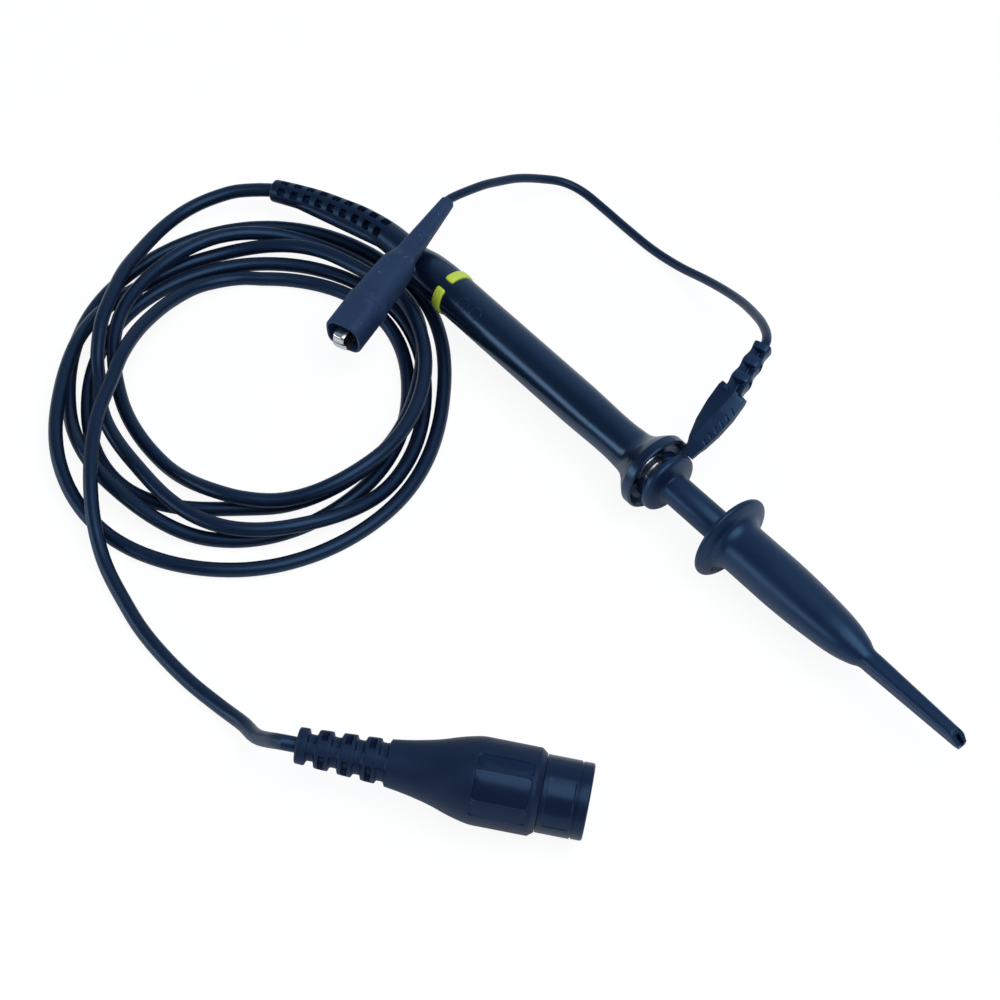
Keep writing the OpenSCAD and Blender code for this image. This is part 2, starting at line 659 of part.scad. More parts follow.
module bayonet_collar() {
  color([0.1, 0.11, 0.14]) on_plug() rotate_extrude() polygon([[5.6, -rim_length], [collar_r, -rim_length],
    [collar_r, -2.3], [collar_r - 0.25, -2.3], [collar_r - 0.25, -2], [collar_r - 0.03, -2],
    [collar_r - 0.03, -0.25], [collar_r - 0.3, 0], [5.6, 0]]);
}

// The nut has two slots that lead in from the mouth, run round and end in a seat
module bayonet_nut() {
  color([0.8, 0.8, 0.78]) on_plug() difference() {
    bar(5.6 - seat, -rim_length + 0.3, -0.3);
    bar(4.85, -rim_length + 0.8, 1);
    bar(contact_r + 2 * fit, -rim_length - 1, 0);
    for (side = [0, 180]) rotate([0, 0, side]) {
      translate([4, -1.1, -4.5]) cube([3, 2.2, 6]);
      for (k = [0 : 5]) rotate([0, 0, 9 * k]) translate([4, -1.1, -4.5 - 0.35 * k]) cube([3, 2.2, 2.1]);
    }
  }
}

module contact_sleeve() {
  color([0.85, 0.85, 0.82]) on_plug() difference() {
    union() {
      bar(contact_r, contact_root, -1.2);
      bar(contact_r - 0.25, -rim_length - 0.4 + seat, contact_root + 0.1);
      bar(contact_r - 0.55, -13.5, -rim_length);
    }
    bar(contact_r - 0.9, -14, 0);
    for (side = [45, 135]) rotate([0, 0, side]) translate([-6, -0.2, -5.4]) cube([12, 0.4, 6]);
  }
}

module plug_insulator() {
  color([0.94, 0.94, 0.9]) on_plug()
    pipe(contact_r - 0.9 - seat, pin_root_r + seat, -13.4, pin_root - 0.6);
}

module centre_pin() {
  color([0.85, 0.72, 0.38]) on_plug() {
    bar(pin_root_r, -13.4, pin_root - 0.6);
    translate([0, 0, pin_root - 0.6]) cylinder(r1 = pin_root_r, r2 = pin_r, h = 0.6);
    bar(pin_r, pin_root, -2.6);
    translate([0, 0, -2.6]) cylinder(r1 = pin_r, r2 = 0.25, h = 0.9);
  }
}

module nut_gasket() {
  color([0.6, 0.2, 0.15]) on_plug() pipe(4.7, contact_r - 0.25 + seat, -7.8, contact_root - 0.3);
}

module wave_washer() {
  color([0.7, 0.7, 0.68]) on_plug() pipe(5.0, contact_r - 0.25 + seat, -rim_length - 0.4 + seat,
    -rim_length - 0.1);
}

handle_shell();
marker_ring();
cable_boot();
ground_barrel();
tip_insulator();
probe_needle();
circuit_board();
tip_resistor();
tip_capacitor();
crimp_ferrule();
hook_carrier();
contact_socket();
hook_wire();
return_spring();
hook_sleeve();
ground_collar();
collar_contact();
lead_relief();
ground_lead();
clip_boot();
clip_jaw_lower();
clip_jaw_upper();
clip_pin();
clip_spring();
cable_lead_in();
cable_coil();
cable_tail();
plug_relief();
plug_housing();
plug_core();
bayonet_collar();
bayonet_nut();
contact_sleeve();
plug_insulator();
centre_pin();
nut_gasket();
wave_washer();
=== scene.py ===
import json
import math

import bpy
import numpy as np
from mathutils import Matrix, Vector


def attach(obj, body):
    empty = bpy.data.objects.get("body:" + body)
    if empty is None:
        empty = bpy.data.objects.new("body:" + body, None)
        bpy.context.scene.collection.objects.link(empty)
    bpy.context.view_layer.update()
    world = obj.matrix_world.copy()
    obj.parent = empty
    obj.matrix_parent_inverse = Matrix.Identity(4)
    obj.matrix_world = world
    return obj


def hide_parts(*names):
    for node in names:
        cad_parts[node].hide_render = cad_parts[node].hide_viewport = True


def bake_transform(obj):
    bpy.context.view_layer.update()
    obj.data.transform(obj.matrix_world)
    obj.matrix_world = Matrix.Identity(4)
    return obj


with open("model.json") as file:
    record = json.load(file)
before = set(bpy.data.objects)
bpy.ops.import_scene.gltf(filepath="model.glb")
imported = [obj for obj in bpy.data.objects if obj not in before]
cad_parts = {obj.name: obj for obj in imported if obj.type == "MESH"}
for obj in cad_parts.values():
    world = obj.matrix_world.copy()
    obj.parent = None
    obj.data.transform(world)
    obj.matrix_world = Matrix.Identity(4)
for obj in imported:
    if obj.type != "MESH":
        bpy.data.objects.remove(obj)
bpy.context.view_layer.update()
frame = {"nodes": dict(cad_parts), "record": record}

mm = 0.001
# the part's source works from the flange of the hook sleeve; the row's origin lies here in it
rowOrigin = np.array([-35.9448, 4.16035, 0.0])
axisHeight = 8.9


def inRow(points):
    # millimetres in the source's frame to metres in the row's
    return (np.asarray(points, float) - rowOrigin) * mm


# camera
camera = dict(lens=90.0, distance=490.2, elevation=52.3, turned=49.6, target=(-40.36, -22.89, 0.0))


def makeCamera(c):
    e, t = math.radians(c["elevation"]), math.radians(c["turned"])
    right = Vector((math.cos(t), math.sin(t), 0))
    back = Vector((math.sin(t) * math.cos(e), -math.cos(t) * math.cos(e), math.sin(e)))
    up = back.cross(right)
    data = bpy.data.cameras.new("mainCamera")
    data.lens, data.sensor_width = c["lens"], 36.0
    data.clip_start, data.clip_end = 0.01, 20
    thing = bpy.data.objects.new("mainCamera", data)
    bpy.context.scene.collection.objects.link(thing)
    turn = Matrix((right, up, back)).transposed().to_4x4()
    place = Vector(inRow(c["target"])) + back * c["distance"] * mm
    thing.matrix_world = Matrix.Translation(place) @ turn
    bpy.context.scene.camera = thing


makeCamera(camera)
print("camera placed")


# curves and surfaces

def throughPoints(points, steps):
    # smooth curve through the points, from b to c with a before and d after them:
    # p(t) = b + t/2 (c - a + t (2a - 5b + 4c - d + t (3(b - c) + d - a)))
    p = np.asarray(points, float)
    padded = np.vstack([p[:1], p, p[-1:]])
    t = np.linspace(0, len(p) - 1, (len(p) - 1) * steps + 1)
    i = np.minimum(t.astype(int), len(p) - 2)
    f = (t - i)[:, None]
    a, b, c, d = padded[i], padded[i + 1], padded[i + 2], padded[i + 3]
    return b + 0.5 * f * (c - a + f * (2 * a - 5 * b + 4 * c - d + f * (3 * (b - c) + d - a)))


def unit(v):
    return v / np.linalg.norm(v, axis=-1, keepdims=True)


def directions(path, up):
    # tangent, side and top at each point: side = up x tangent, top = tangent x side
    t = unit(np.gradient(path, axis=0))
    side = unit(np.cross(up, t))
    return t, side, np.cross(t, side)


def roundedLine(corners):
    # a line through (a, b, r) corners, each cut back by r and turned with a short arc
    c = np.array([x[:2] for x in corners], float)
    out = [c[:1]]
    for i in range(1, len(c) - 1):
        r = corners[i][2] if len(corners[i]) > 2 else 0
        into, away = c[i - 1] - c[i], c[i + 1] - c[i]
        r = min(r, 0.45 * np.linalg.norm(into), 0.45 * np.linalg.norm(away))
        if r < 1e-6:
            out.append(c[i:i + 1])
            continue
        start, stop = c[i] + unit(into) * r, c[i] + unit(away) * r
        t = np.linspace(0, 1, 6)[:, None]
        out.append((1 - t) ** 2 * start + 2 * t * (1 - t) * c[i] + t ** 2 * stop)
    out.append(c[-1:])
    return np.vstack(out)


def tubeGrid(path, radius, sides, up=(0, 0, 1.0)):
    # p(i, a) = path(i) + r (cos a side + sin a top)
    _, side, top = directions(path, up)
    a = np.linspace(0, 2 * math.pi, sides, endpoint=False)
    r = np.broadcast_to(np.asarray(radius, float), (len(path),))[:, None, None]
    return path[:, None] + r * (np.cos(a)[None, :, None] * side[:, None]
                                + np.sin(a)[None, :, None] * top[:, None])


def evenly(path, spacing):
    # the same line, sampled at equal steps
    gaps = np.linalg.norm(np.diff(path, axis=0), axis=1)
    s = np.concatenate([[0], np.cumsum(gaps)])
    n = max(int(round(s[-1] / spacing)), 4)
    at = np.linspace(0, s[-1], n + 1)
    return np.stack([np.interp(at, s, path[:, k]) for k in range(3)], axis=1)


def lengthOf(path):
    return float(np.linalg.norm(np.diff(path, axis=0), axis=1).sum())


def ease(x):
    x = np.clip(x, 0, 1)
    return x * x * (3 - 2 * x)


def addSkin(grid, closedRound=True, closedAlong=False, capFirst=False, capLast=False):
    # grid[i, j] is a surface of two parameters, i along it and j round it. Faces point along (round x along).
    rows, cols = grid.shape[:2]
    index = np.arange(rows * cols).reshape(rows, cols)
    this, after = (index, np.roll(index, -1, axis=1)) if closedRound else (index[:, :-1], index[:, 1:])
    if closedAlong:
        quads = np.stack([this, after, np.roll(after, -1, axis=0), np.roll(this, -1, axis=0)], axis=-1)
    else:
        quads = np.stack([this[:-1], after[:-1], after[1:], this[1:]], axis=-1)
    points, faces = grid.reshape(-1, 3), quads.reshape(-1, 4).tolist()
    for wanted, ring, flip in ((capFirst, index[0], True), (capLast, index[-1], False)):
        if wanted:
            middle = len(points)
            points = np.vstack([points, points[ring].mean(axis=0)])
            fan = np.stack([ring, np.roll(ring, -1), np.full(cols, middle)], axis=-1)
            faces += (fan[:, ::-1] if flip else fan).tolist()
    return points, faces


def buildThing(name, skins, sharpAngle=35.0):
    # one mesh of one or more skins, given in millimetres of the source's frame
    points, faces, count = [], [], 0
    for skinPoints, skinFaces in skins:
        points.append(skinPoints)
        faces += [[k + count for k in face] for face in skinFaces]
        count += len(skinPoints)
    mesh = bpy.data.meshes.new(name)
    mesh.from_pydata(inRow(np.vstack(points)).tolist(), [], faces)
    mesh.polygons.foreach_set("use_smooth", np.ones(len(mesh.polygons), bool))
    mesh.set_sharp_from_angle(angle=math.radians(sharpAngle))
    mesh.update()
    thing = bpy.data.objects.new(name, mesh)
    bpy.context.scene.collection.objects.link(thing)
    return thing


def axes(origin, along, top=(0, 0, 1)):
    # o, the direction t along the piece, its top n square to t, and a = t x n across it
    t = unit(np.asarray(along, float))
    n = unit(np.asarray(top, float) - np.dot(top, t) * t)
    return dict(o=np.asarray(origin, float), t=t, n=n, a=np.cross(t, n))


def placed(where, s, up, across):
    # o + s t + up n + across a
    s, up, across = (x[..., None] for x in np.broadcast_arrays(s, up, across))
    return where["o"] + s * where["t"] + up * where["n"] + across * where["a"]


def shell(where, s, r, angle):
    # o + s t + r (cos(angle) n + sin(angle) a)
    return placed(where, s, r * np.cos(angle), r * np.sin(angle))


def turnedRows(where, line, angle):
    # rows of an (s, r) line, each carried round the axis
    return shell(where, line[:, :1], line[:, 1:2], angle)


def fullTurn(sides):
    # even angles once round, as the second parameter of a grid
    return np.linspace(0, 2 * math.pi, sides, endpoint=False)[None, :]


def awayFrom(angle, middles):
    # signed degrees from each middle, -180 to 180, on a third axis
    return (angle[None, :, None] - middles + 180) % 360 - 180


def quarterRound(x):
    # 1 at x = 0, falling along a quarter circle to 0 at x = 1 and after it
    return 1 - np.sqrt(np.clip(1 - (1 - np.clip(x, 0, 1)) ** 2, 0, 1))


def spots(start, stop, spacing, edges=(), width=0.06):
    # even steps from start to stop, with five close ones at each edge
    even = np.linspace(start, stop, max(int(abs(stop - start) / spacing), 1) + 1)
    close = (np.asarray(edges, float).reshape(-1, 1) + width * np.array([-1, -0.5, 0, 0.5, 1])).ravel()
    close = close[(close > start) & (close < stop)]
    far = np.ones(len(even), bool)
    if len(close):
        far[1:-1] = np.abs(even[1:-1, None] - close[None, :]).min(axis=1) > 0.45 * width
    both = np.unique(np.concatenate([even[far], close]))
    return both[np.concatenate([[True], np.diff(both) > 0.2 * width])]


def boxMask(x, y, halfX, halfY, corner, soft):
    # 1 inside a rounded rectangle and 0 outside, eased over the width soft
    qx, qy = np.abs(x) - halfX + corner, np.abs(y) - halfY + corner
    d = np.hypot(np.maximum(qx, 0), np.maximum(qy, 0)) + np.minimum(np.maximum(qx, qy), 0) - corner
    return ease(0.5 - d / soft)


def bandMask(x, start, stop, soft):
    # 1 between start and stop, eased at both
    return ease((x - start) / soft + 0.5) * ease((stop - x) / soft + 0.5)


def boxReach(angle, up, across, power):
    # reach of a rounded box in the direction angle: (|cos / up|^p + |sin / across|^p)^(-1/p)
    return (np.abs(np.cos(angle) / up) ** power + np.abs(np.sin(angle) / across) ** power) ** (-1.0 / power)


def blendLess(a, b, power=10.0):
    # the lesser of two reaches, with their edge rounded
    return (a ** -power + b ** -power) ** (-1.0 / power)


def turnedSkin(where, corners, sides=96):
    # a closed (s, r) outline carried round the axis
    line = roundedLine(list(corners) + [corners[0]])[:-1]
    return addSkin(turnedRows(where, line, fullTurn(sides)), closedAlong=True)


def roundedBoxSkin(where, s0, s1, up0, up1, across0, across1, corner, power=6.0, sides=32):
    # a box with rounded edges: rows grow over the corner, run straight and shrink again
    turn = np.linspace(0, math.pi / 2, 5)
    s = np.concatenate([s0 + corner * (1 - np.cos(turn)), s1 - corner * (1 - np.cos(turn[::-1]))])
    cut = corner * (1 - np.sin(np.concatenate([turn, turn[::-1]])))
    angle = fullTurn(sides)
    halfUp, halfAcross = (up1 - up0) / 2 - cut[:, None], (across1 - across0) / 2 - cut[:, None]
    r = boxReach(angle, halfUp, halfAcross, power)
    grid = placed(where, s[:, None], (up0 + up1) / 2 + r * np.cos(angle),
                  (across0 + across1) / 2 + r * np.sin(angle))
    return addSkin(grid, capFirst=True, capLast=True)


probeAxes = axes((0, 0, axisHeight), (1, 0, 0))
turns = np.radians


# the cable
bootRoute = dict(
    tail=-96.5,
    length=36.0,
    line=[(0, 0, 0), (-4.9, 0, 0), (-9, -0.4, 0), (-14.4, -1.5, -0.1), (-19.3, -3, -0.4), (-24.2, -4.6, -0.8),
          (-28.9, -6.5, -1.3), (-34.3, -9, -1.9)],
)
bootLine = np.array(bootRoute["line"], float)
bootPath = np.array([bootRoute["tail"], 0, axisHeight]) + bootLine * bootRoute["length"] / lengthOf(bootLine)

cable = dict(
    radius=1.45,
    leadIn=[(-135.9, -14.4, 6.5), (-138, -18.5, 6), (-139.3, -23, 5.5), (-139.3, -28, 5.5), (-138, -34, 5.8),
            (-135.2, -41, 6.5), (-131.6, -47.5, 7.8), (-127, -53.8, 8.4), (-123.2, -58.6, 8.3),
            (-119.8, -62, 7.2), (-116.5, -64.8, 5.8)],
    tail=[(-121.1, -29.8, 1.6), (-122.4, -35.4, 2.6), (-122, -40.6, 3.7), (-120.2, -46.8, 5.4),
          (-117, -54.2, 7.2), (-113, -60.8, 8.3), (-108.6, -66.5, 8.4), (-103.6, -73, 8.4),
          (-97.8, -78.6, 8.3), (-91.7, -83.4, 7.4), (-85.6, -87.4, 5.6), (-79.9, -90.2, 3.4),
          (-74.8, -91.9, 1.9), (-68, -93.4, 1.5), (-60, -94.8, 1.47), (-52, -95.2, 1.48), (-44, -94.9, 1.52),
          (-36, -93.9, 1.75), (-29.6, -93.4, 3.2), (-24, -94.1, 6.2)],
    coilMiddle=(-92, -45.2),
    coilTurned=49.6,
    reach=[29.8, 28.9, 35.6, 36.7, 35.3, 37.4, 36.9, 35.2,
           32.6, 32.6, 28.1, 31.5, 33.9, 40.6, 43.9, 35.9,
           26.0, 23.2, 28.0, 33.1, 35.4, 37.6, 40.5, 38.9,
           37.6, 42.5, 42.9, 40.6, 39.0, 44.5, 47.5, 42.8,
           36.5, 35.4, 35.9, 33.1, 31.9, 33.9, 32.6],
    climbs=[(-90, 145), (460, 604), (608, 722), (765, 1008), (820, 964), (1024, 1140), (1436, 1522)],
    ramp=40, lift=3.4, lowest=1.45,
)

plug = dict(at=(25.1, -58.1, 6.99343), turn=39.7, tilt=4.99374, length=52.5)
plugTurn, plugTilt = math.radians(plug["turn"]), math.radians(plug["tilt"])
plugAim = np.array([math.cos(plugTurn) * math.cos(plugTilt), math.sin(plugTurn) * math.cos(plugTilt),
                    -math.sin(plugTilt)])
plugAt = np.array(plug["at"])


def coilPoints(c, step):
    # reach(a) is a smooth curve through the samples, height(a) = lowest + lift * (how many turns it lies on)
    a = np.arange(0, 45 * (len(c["reach"]) - 1) + 0.1, step)
    samples = np.array(c["reach"], float)[:, None]
    fine = throughPoints(np.hstack([samples, samples, samples]), 45)[:, 0]
    r = np.interp(a, np.arange(len(fine)), fine)
    t = np.radians(a + 180 + c["coilTurned"])
    z = np.full_like(a, c["lowest"])
    for start, stop in c["climbs"]:
        z += c["lift"] * ease((a - start) / c["ramp"]) * ease((stop - a) / c["ramp"])
    return np.stack([c["coilMiddle"][0] + r * np.cos(t), c["coilMiddle"][1] + r * np.sin(t), z], axis=1)


def cableRoute():
    coil = coilPoints(cable, 3)
    r = cable["radius"]
    coarse = coilPoints(cable, 15)
    coilStart = coarse[0] + 2 * r * unit(coarse[0] - coarse[1])
    coilEnd = coarse[-1] + 2 * r * unit(coarse[-1] - coarse[-2])
    before = throughPoints(np.vstack([bootPath[-3:], cable["leadIn"], [coilStart], coil[:1]]), 8)[13:-1]
    reliefEnd = plugAt - plug["length"] * plugAim
    after = throughPoints(np.vstack([coil[-1:], [coilEnd], cable["tail"],
                                     [reliefEnd + k * plugAim for k in (-3, -1, 2, 6)]]), 8)[1:]
    return np.vstack([before, coil, after])


cableLine = evenly(cableRoute(), 1.7)
print("cable", round(lengthOf(cableLine) / 1000, 4), "m")

groundLead = dict(
    radius=0.95,
    reliefFrom=(-19.5, 18.6862, 20.1278), reliefYaw=108.0, reliefRise=8.0, reliefLength=12.0,
    line=[(-25.6, 33, 20.8), (-29.2, 35.6, 18.8), (-33.4, 38, 16.2), (-39.4, 40.8, 12.6), (-46.4, 43, 8.8),
          (-53.7, 44.3, 5.4), (-61.6, 44.6, 2.6), (-69.6, 44.6, 1.2), (-78, 44.7, 0.96), (-85.4, 44.8, 1.1),
          (-91.6, 44.2, 1.9), (-95.6, 42, 3.2), (-97.8, 37.6, 5.4), (-98.6, 32, 8.6), (-98.6, 26.6, 11.2),
          (-98.2, 20.8, 13.8)],
)
clip = dict(tail=(-97.4, 11.5, 15.95), yaw=-70.9, dip=3.9)
clipYaw, clipDip = math.radians(clip["yaw"]), math.radians(clip["dip"])
clipAim = np.array([math.cos(clipYaw) * math.cos(clipDip), math.sin(clipYaw) * math.cos(clipDip),
                    -math.sin(clipDip)])
clipTail = np.array(clip["tail"])
reliefYaw, reliefRise = math.radians(groundLead["reliefYaw"]), math.radians(groundLead["reliefRise"])
reliefAim = np.array([math.cos(reliefYaw) * math.cos(reliefRise), math.sin(reliefYaw) * math.cos(reliefRise),
                      math.sin(reliefRise)])
reliefFrom = np.array(groundLead["reliefFrom"])
reliefTo = reliefFrom + groundLead["reliefLength"] * reliefAim
leadLine = evenly(throughPoints(np.vstack([
    [reliefTo - 1.5 * reliefAim, reliefTo + 0.6 * reliefAim], groundLead["line"],
    [clipTail - clipAim, clipTail + 1.5 * clipAim]]), 10), 0.9)
print("ground lead", round(lengthOf(leadLine) / 1000, 4), "m")


# materials

class Nodes:
    # a small helper that adds nodes to a material and joins them
    def __init__(self, name):
        self.material = bpy.data.materials.new(name)
        self.material.use_nodes = True
        self.tree = self.material.node_tree
        self.shader = self.tree.nodes["Principled BSDF"]

    def add(self, kind, inputs=None, **settings):
        node = self.tree.nodes.new(kind)
        for key, value in settings.items():
            setattr(node, key, value)
        for key, value in (inputs or {}).items():
            if hasattr(value, "node"):
                self.tree.links.new(value, node.inputs[key])
            else:
                node.inputs[key].default_value = value
        return node

    def ramp(self, source, stops):
        node = self.add("ShaderNodeValToRGB", {"Fac": source})
        while len(node.color_ramp.elements) < len(stops):
            node.color_ramp.elements.new(0.5)
        for element, (place, colour) in zip(node.color_ramp.elements, stops):
            element.position = place
            element.color = (*colour, 1)
        return node.outputs["Color"]

    def join(self, source, name):
        self.tree.links.new(source, self.shader.inputs[name])


def mouldedPlastic(name, colour, lighter, roughness, grain, grainDepth, shine=0.5, tint=(1, 1, 1), dust=0.0):
    # fine moulded grain over slow changes of colour and gloss, handling marks that change the gloss alone,
    # and the polish of a piece that has one
    m = Nodes(name)
    place = m.add("ShaderNodeTexCoord").outputs["Object"]
    slow = m.add("ShaderNodeTexNoise", {"Vector": place, "Scale": 60.0, "Detail": 3.0, "Roughness": 0.6})
    fine = m.add("ShaderNodeTexNoise", {"Vector": place, "Scale": grain, "Detail": 2.0, "Roughness": 0.7})
    rubbed = m.add("ShaderNodeTexNoise", {"Vector": place, "Scale": 420.0, "Detail": 4.0, "Roughness": 0.65})
    shade = m.ramp(slow.outputs["Fac"], [(0.35, colour), (0.65, lighter)])
    if dust:
        # pale specks where a fine noise is at its highest
        specks = m.add("ShaderNodeTexNoise", {"Vector": place, "Scale": 1500.0, "Detail": 1.0})
        seen = m.add("ShaderNodeMapRange", {"Value": specks.outputs["Fac"], "From Min": 0.71,
                                            "From Max": 0.78, "To Max": dust})
        shade = m.add("ShaderNodeMixRGB", {"Fac": seen.outputs["Result"], "Color1": shade,
                                           "Color2": (0.30, 0.34, 0.42, 1)}).outputs["Color"]
    m.join(shade, "Base Color")
    gloss = m.add("ShaderNodeMapRange", {"Value": slow.outputs["Fac"], "From Min": 0.3, "From Max": 0.7,
                                         "To Min": roughness - 0.04, "To Max": roughness + 0.04})
    marks = m.add("ShaderNodeMapRange", {"Value": rubbed.outputs["Fac"], "From Min": 0.58, "From Max": 0.72,
                                         "To Min": 0.0, "To Max": 0.07})
    both = m.add("ShaderNodeMath", {0: gloss.outputs["Result"], 1: marks.outputs["Result"]}, operation="ADD")
    polish = m.add("ShaderNodeAttribute", attribute_name="polish").outputs["Fac"]
    smoother = m.add("ShaderNodeMath", {0: polish, 1: -0.5 * roughness, 2: both.outputs["Value"]},
                     operation="MULTIPLY_ADD")
    m.join(smoother.outputs["Value"], "Roughness")
    bump = m.add("ShaderNodeBump", {"Height": fine.outputs["Fac"], "Strength": 0.35, "Distance": grainDepth})
    m.join(bump.outputs["Normal"], "Normal")
    m.shader.inputs["Specular IOR Level"].default_value = shine
    m.shader.inputs["Specular Tint"].default_value = (*tint, 1)
    return m


def platedMetal(name, colour, roughness, grain):
    # thin plating with faint turning marks and small spots
    m = Nodes(name)
    place = m.add("ShaderNodeTexCoord").outputs["Object"]
    slow = m.add("ShaderNodeTexNoise", {"Vector": place, "Scale": 180.0, "Detail": 4.0})
    fine = m.add("ShaderNodeTexNoise", {"Vector": place, "Scale": grain, "Detail": 2.0})
    shade = tuple(c * 0.86 for c in colour)
    m.join(m.ramp(slow.outputs["Fac"], [(0.3, shade), (0.6, colour)]), "Base Color")
    gloss = m.add("ShaderNodeMapRange", {"Value": slow.outputs["Fac"], "To Min": roughness - 0.05,
                                         "To Max": roughness + 0.12})
    m.join(gloss.outputs["Result"], "Roughness")
    bump = m.add("ShaderNodeBump", {"Height": fine.outputs["Fac"], "Strength": 0.2, "Distance": 0.00001})
    m.join(bump.outputs["Normal"], "Normal")
    m.shader.inputs["Metallic"].default_value = 1.0
    return m


def pressCircles(m, circles, depth, dark, dull):
    # thin rings pressed into the surface, their colour mixed towards dark and their gloss dulled by dull:
    # each lies where the distance from its middle is near its radius. A near-black dark is painted shade in
    # the groove
    place, height = m.add("ShaderNodeTexCoord").outputs["Object"], 0.0
    for middle, radius, width in circles:
        far = m.add("ShaderNodeVectorMath", {0: place, 1: tuple(middle)},
                    operation="DISTANCE").outputs["Value"]
        off = m.add("ShaderNodeMath", {0: far, 1: radius}, operation="SUBTRACT").outputs["Value"]
        off = m.add("ShaderNodeMath", {0: off}, operation="ABSOLUTE").outputs["Value"]
        line = m.add("ShaderNodeMapRange", {"Value": off, "From Min": 0.4 * width, "From Max": width,
                                            "To Min": 1.0, "To Max": 0.0}).outputs["Result"]
        height = m.add("ShaderNodeMath", {0: line, 1: height}, operation="ADD").outputs["Value"]
    shade = m.shader.inputs["Base Color"].links[0].from_socket
    m.join(m.add("ShaderNodeMixRGB", {"Fac": height, "Color1": shade, "Color2": dark}).outputs["Color"],
           "Base Color")
    rough = m.shader.inputs["Roughness"].links[0].from_socket
    duller = m.add("ShaderNodeMath", {0: height, 1: 0.5 * dull, 2: rough}, operation="MULTIPLY_ADD")
    m.join(duller.outputs["Value"], "Roughness")
    before = m.shader.inputs["Normal"].links[0].from_socket
    pressed = m.add("ShaderNodeBump", {"Height": height, "Strength": 1.0, "Distance": depth,
                                       "Normal": before}, invert=True)
    m.join(pressed.outputs["Normal"], "Normal")


dim = (0.26, 0.56, 1.0)
gripPlastic = mouldedPlastic("gripPlastic", (0.0030, 0.0064, 0.0180), (0.0042, 0.0084, 0.0230),
                             0.23, 5200.0, 0.000008, 0.85, (0.30, 0.58, 1.0))
hookPlastic = mouldedPlastic("hookPlastic", (0.0044, 0.0096, 0.0310), (0.0062, 0.0128, 0.0390),
                             0.36, 5200.0, 0.000010, 0.72, dim)
plugPlastic = mouldedPlastic("plugPlastic", (0.0050, 0.0105, 0.0300), (0.0070, 0.0135, 0.0370),
                             0.48, 6800.0, 0.000018, 0.38, (0.30, 0.56, 1.0))
clipRubber = mouldedPlastic("clipRubber", (0.0135, 0.0280, 0.0740), (0.0180, 0.0360, 0.0880),
                            0.56, 4200.0, 0.000018, 0.50, (0.40, 0.64, 1.0), 0.5)
bootRubber = mouldedPlastic("bootRubber", (0.0030, 0.0066, 0.0200), (0.0045, 0.0092, 0.0260),
                            0.36, 4200.0, 0.000012, 0.55, dim)
cableJacket = mouldedPlastic("cableJacket", (0.0030, 0.0064, 0.0190), (0.0042, 0.0084, 0.0240),
                             0.36, 3000.0, 0.000008, 0.60, (0.26, 0.54, 1.0))
markerPlastic = mouldedPlastic("markerPlastic", (0.56, 0.70, 0.045), (0.64, 0.78, 0.08),
                               0.38, 5200.0, 0.00001)
whitePlastic = mouldedPlastic("whitePlastic", (0.74, 0.74, 0.70), (0.80, 0.80, 0.77), 0.45, 4200.0, 0.00001)
gasketRubber = mouldedPlastic("gasketRubber", (0.32, 0.05, 0.035), (0.38, 0.07, 0.05), 0.55, 4200.0, 0.00001)
boardGlass = mouldedPlastic("boardGlass", (0.015, 0.10, 0.045), (0.02, 0.13, 0.06), 0.3, 2600.0, 0.00001)
nickelPlate = platedMetal("nickelPlate", (0.72, 0.72, 0.71), 0.22, 2500.0)
springSteel = platedMetal("springSteel", (0.60, 0.61, 0.62), 0.28, 2500.0)
goldPlate = platedMetal("goldPlate", (0.86, 0.62, 0.26), 0.2, 2500.0)
barrelNickel = platedMetal("barrelNickel", (0.80, 0.84, 0.92), 0.26, 2500.0)

# moulding marks: two circles on the grip, mixed to a paler colour, and one small ring on the sleeve's flange,
# painted near black as the shade in its groove
gripCircles = [(inRow(shell(probeAxes, s, 4.55, turns(a))), 1.3 * mm, 0.1 * mm)
               for s, a in ((-75.8, 32.6), (-72.1, 31.5))]
pressCircles(gripPlastic, gripCircles, 0.06 * mm, (0.012, 0.02, 0.04, 1), 0.0)
# the flange's ring is a pressed groove; its near-black colour is painted shade in that groove
flangeRingPaintedShade = [(inRow(shell(probeAxes, 1.3, 6.15, turns(129))), 0.75 * mm, 0.22 * mm)]
pressCircles(hookPlastic, flangeRingPaintedShade, 0.3 * mm, (0.0005, 0.001, 0.002, 1), 1.0)

slotFinish = dict(
    grip_plastic=gripPlastic, marker_plastic=markerPlastic, boot_rubber=bootRubber, hook_plastic=hookPlastic,
    barrel_metal=barrelNickel, insulator_plastic=whitePlastic, contact_gold=goldPlate, board=boardGlass,
    component=whitePlastic, ferrule_brass=goldPlate, spring_steel=springSteel, jaw_steel=nickelPlate,
    clip_rubber=clipRubber, cable_jacket=cableJacket, plug_plastic=plugPlastic, plug_metal=nickelPlate,
    gasket_rubber=gasketRubber,
)
slotOf = {s["node"]: s["material_slot"] for s in frame["record"]["subparts"]}
for nodeName, node in frame["nodes"].items():
    node.data.materials.clear()
    node.data.materials.append(slotFinish[slotOf[nodeName]].material)


def dress(thing, body, slotName, *replaced):
    # finish, material slot, body and the CAD pieces that it stands for
    if not thing.data.materials:
        thing.data.materials.append(slotFinish[slotName].material)
    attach(thing, body)
    if replaced:
        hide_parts(*replaced)
    return thing


# the grip
grip = dict(tail=-96.5, radius=4.55, guardFront=-19.9, guardRadius=8.0, cupRadius=7.5, cupFloor=-22.2,
            ringFrom=-83.3, ringWidth=2.3, ringDepth=0.65, keyMiddle=26.6, keyWidth=22.0)


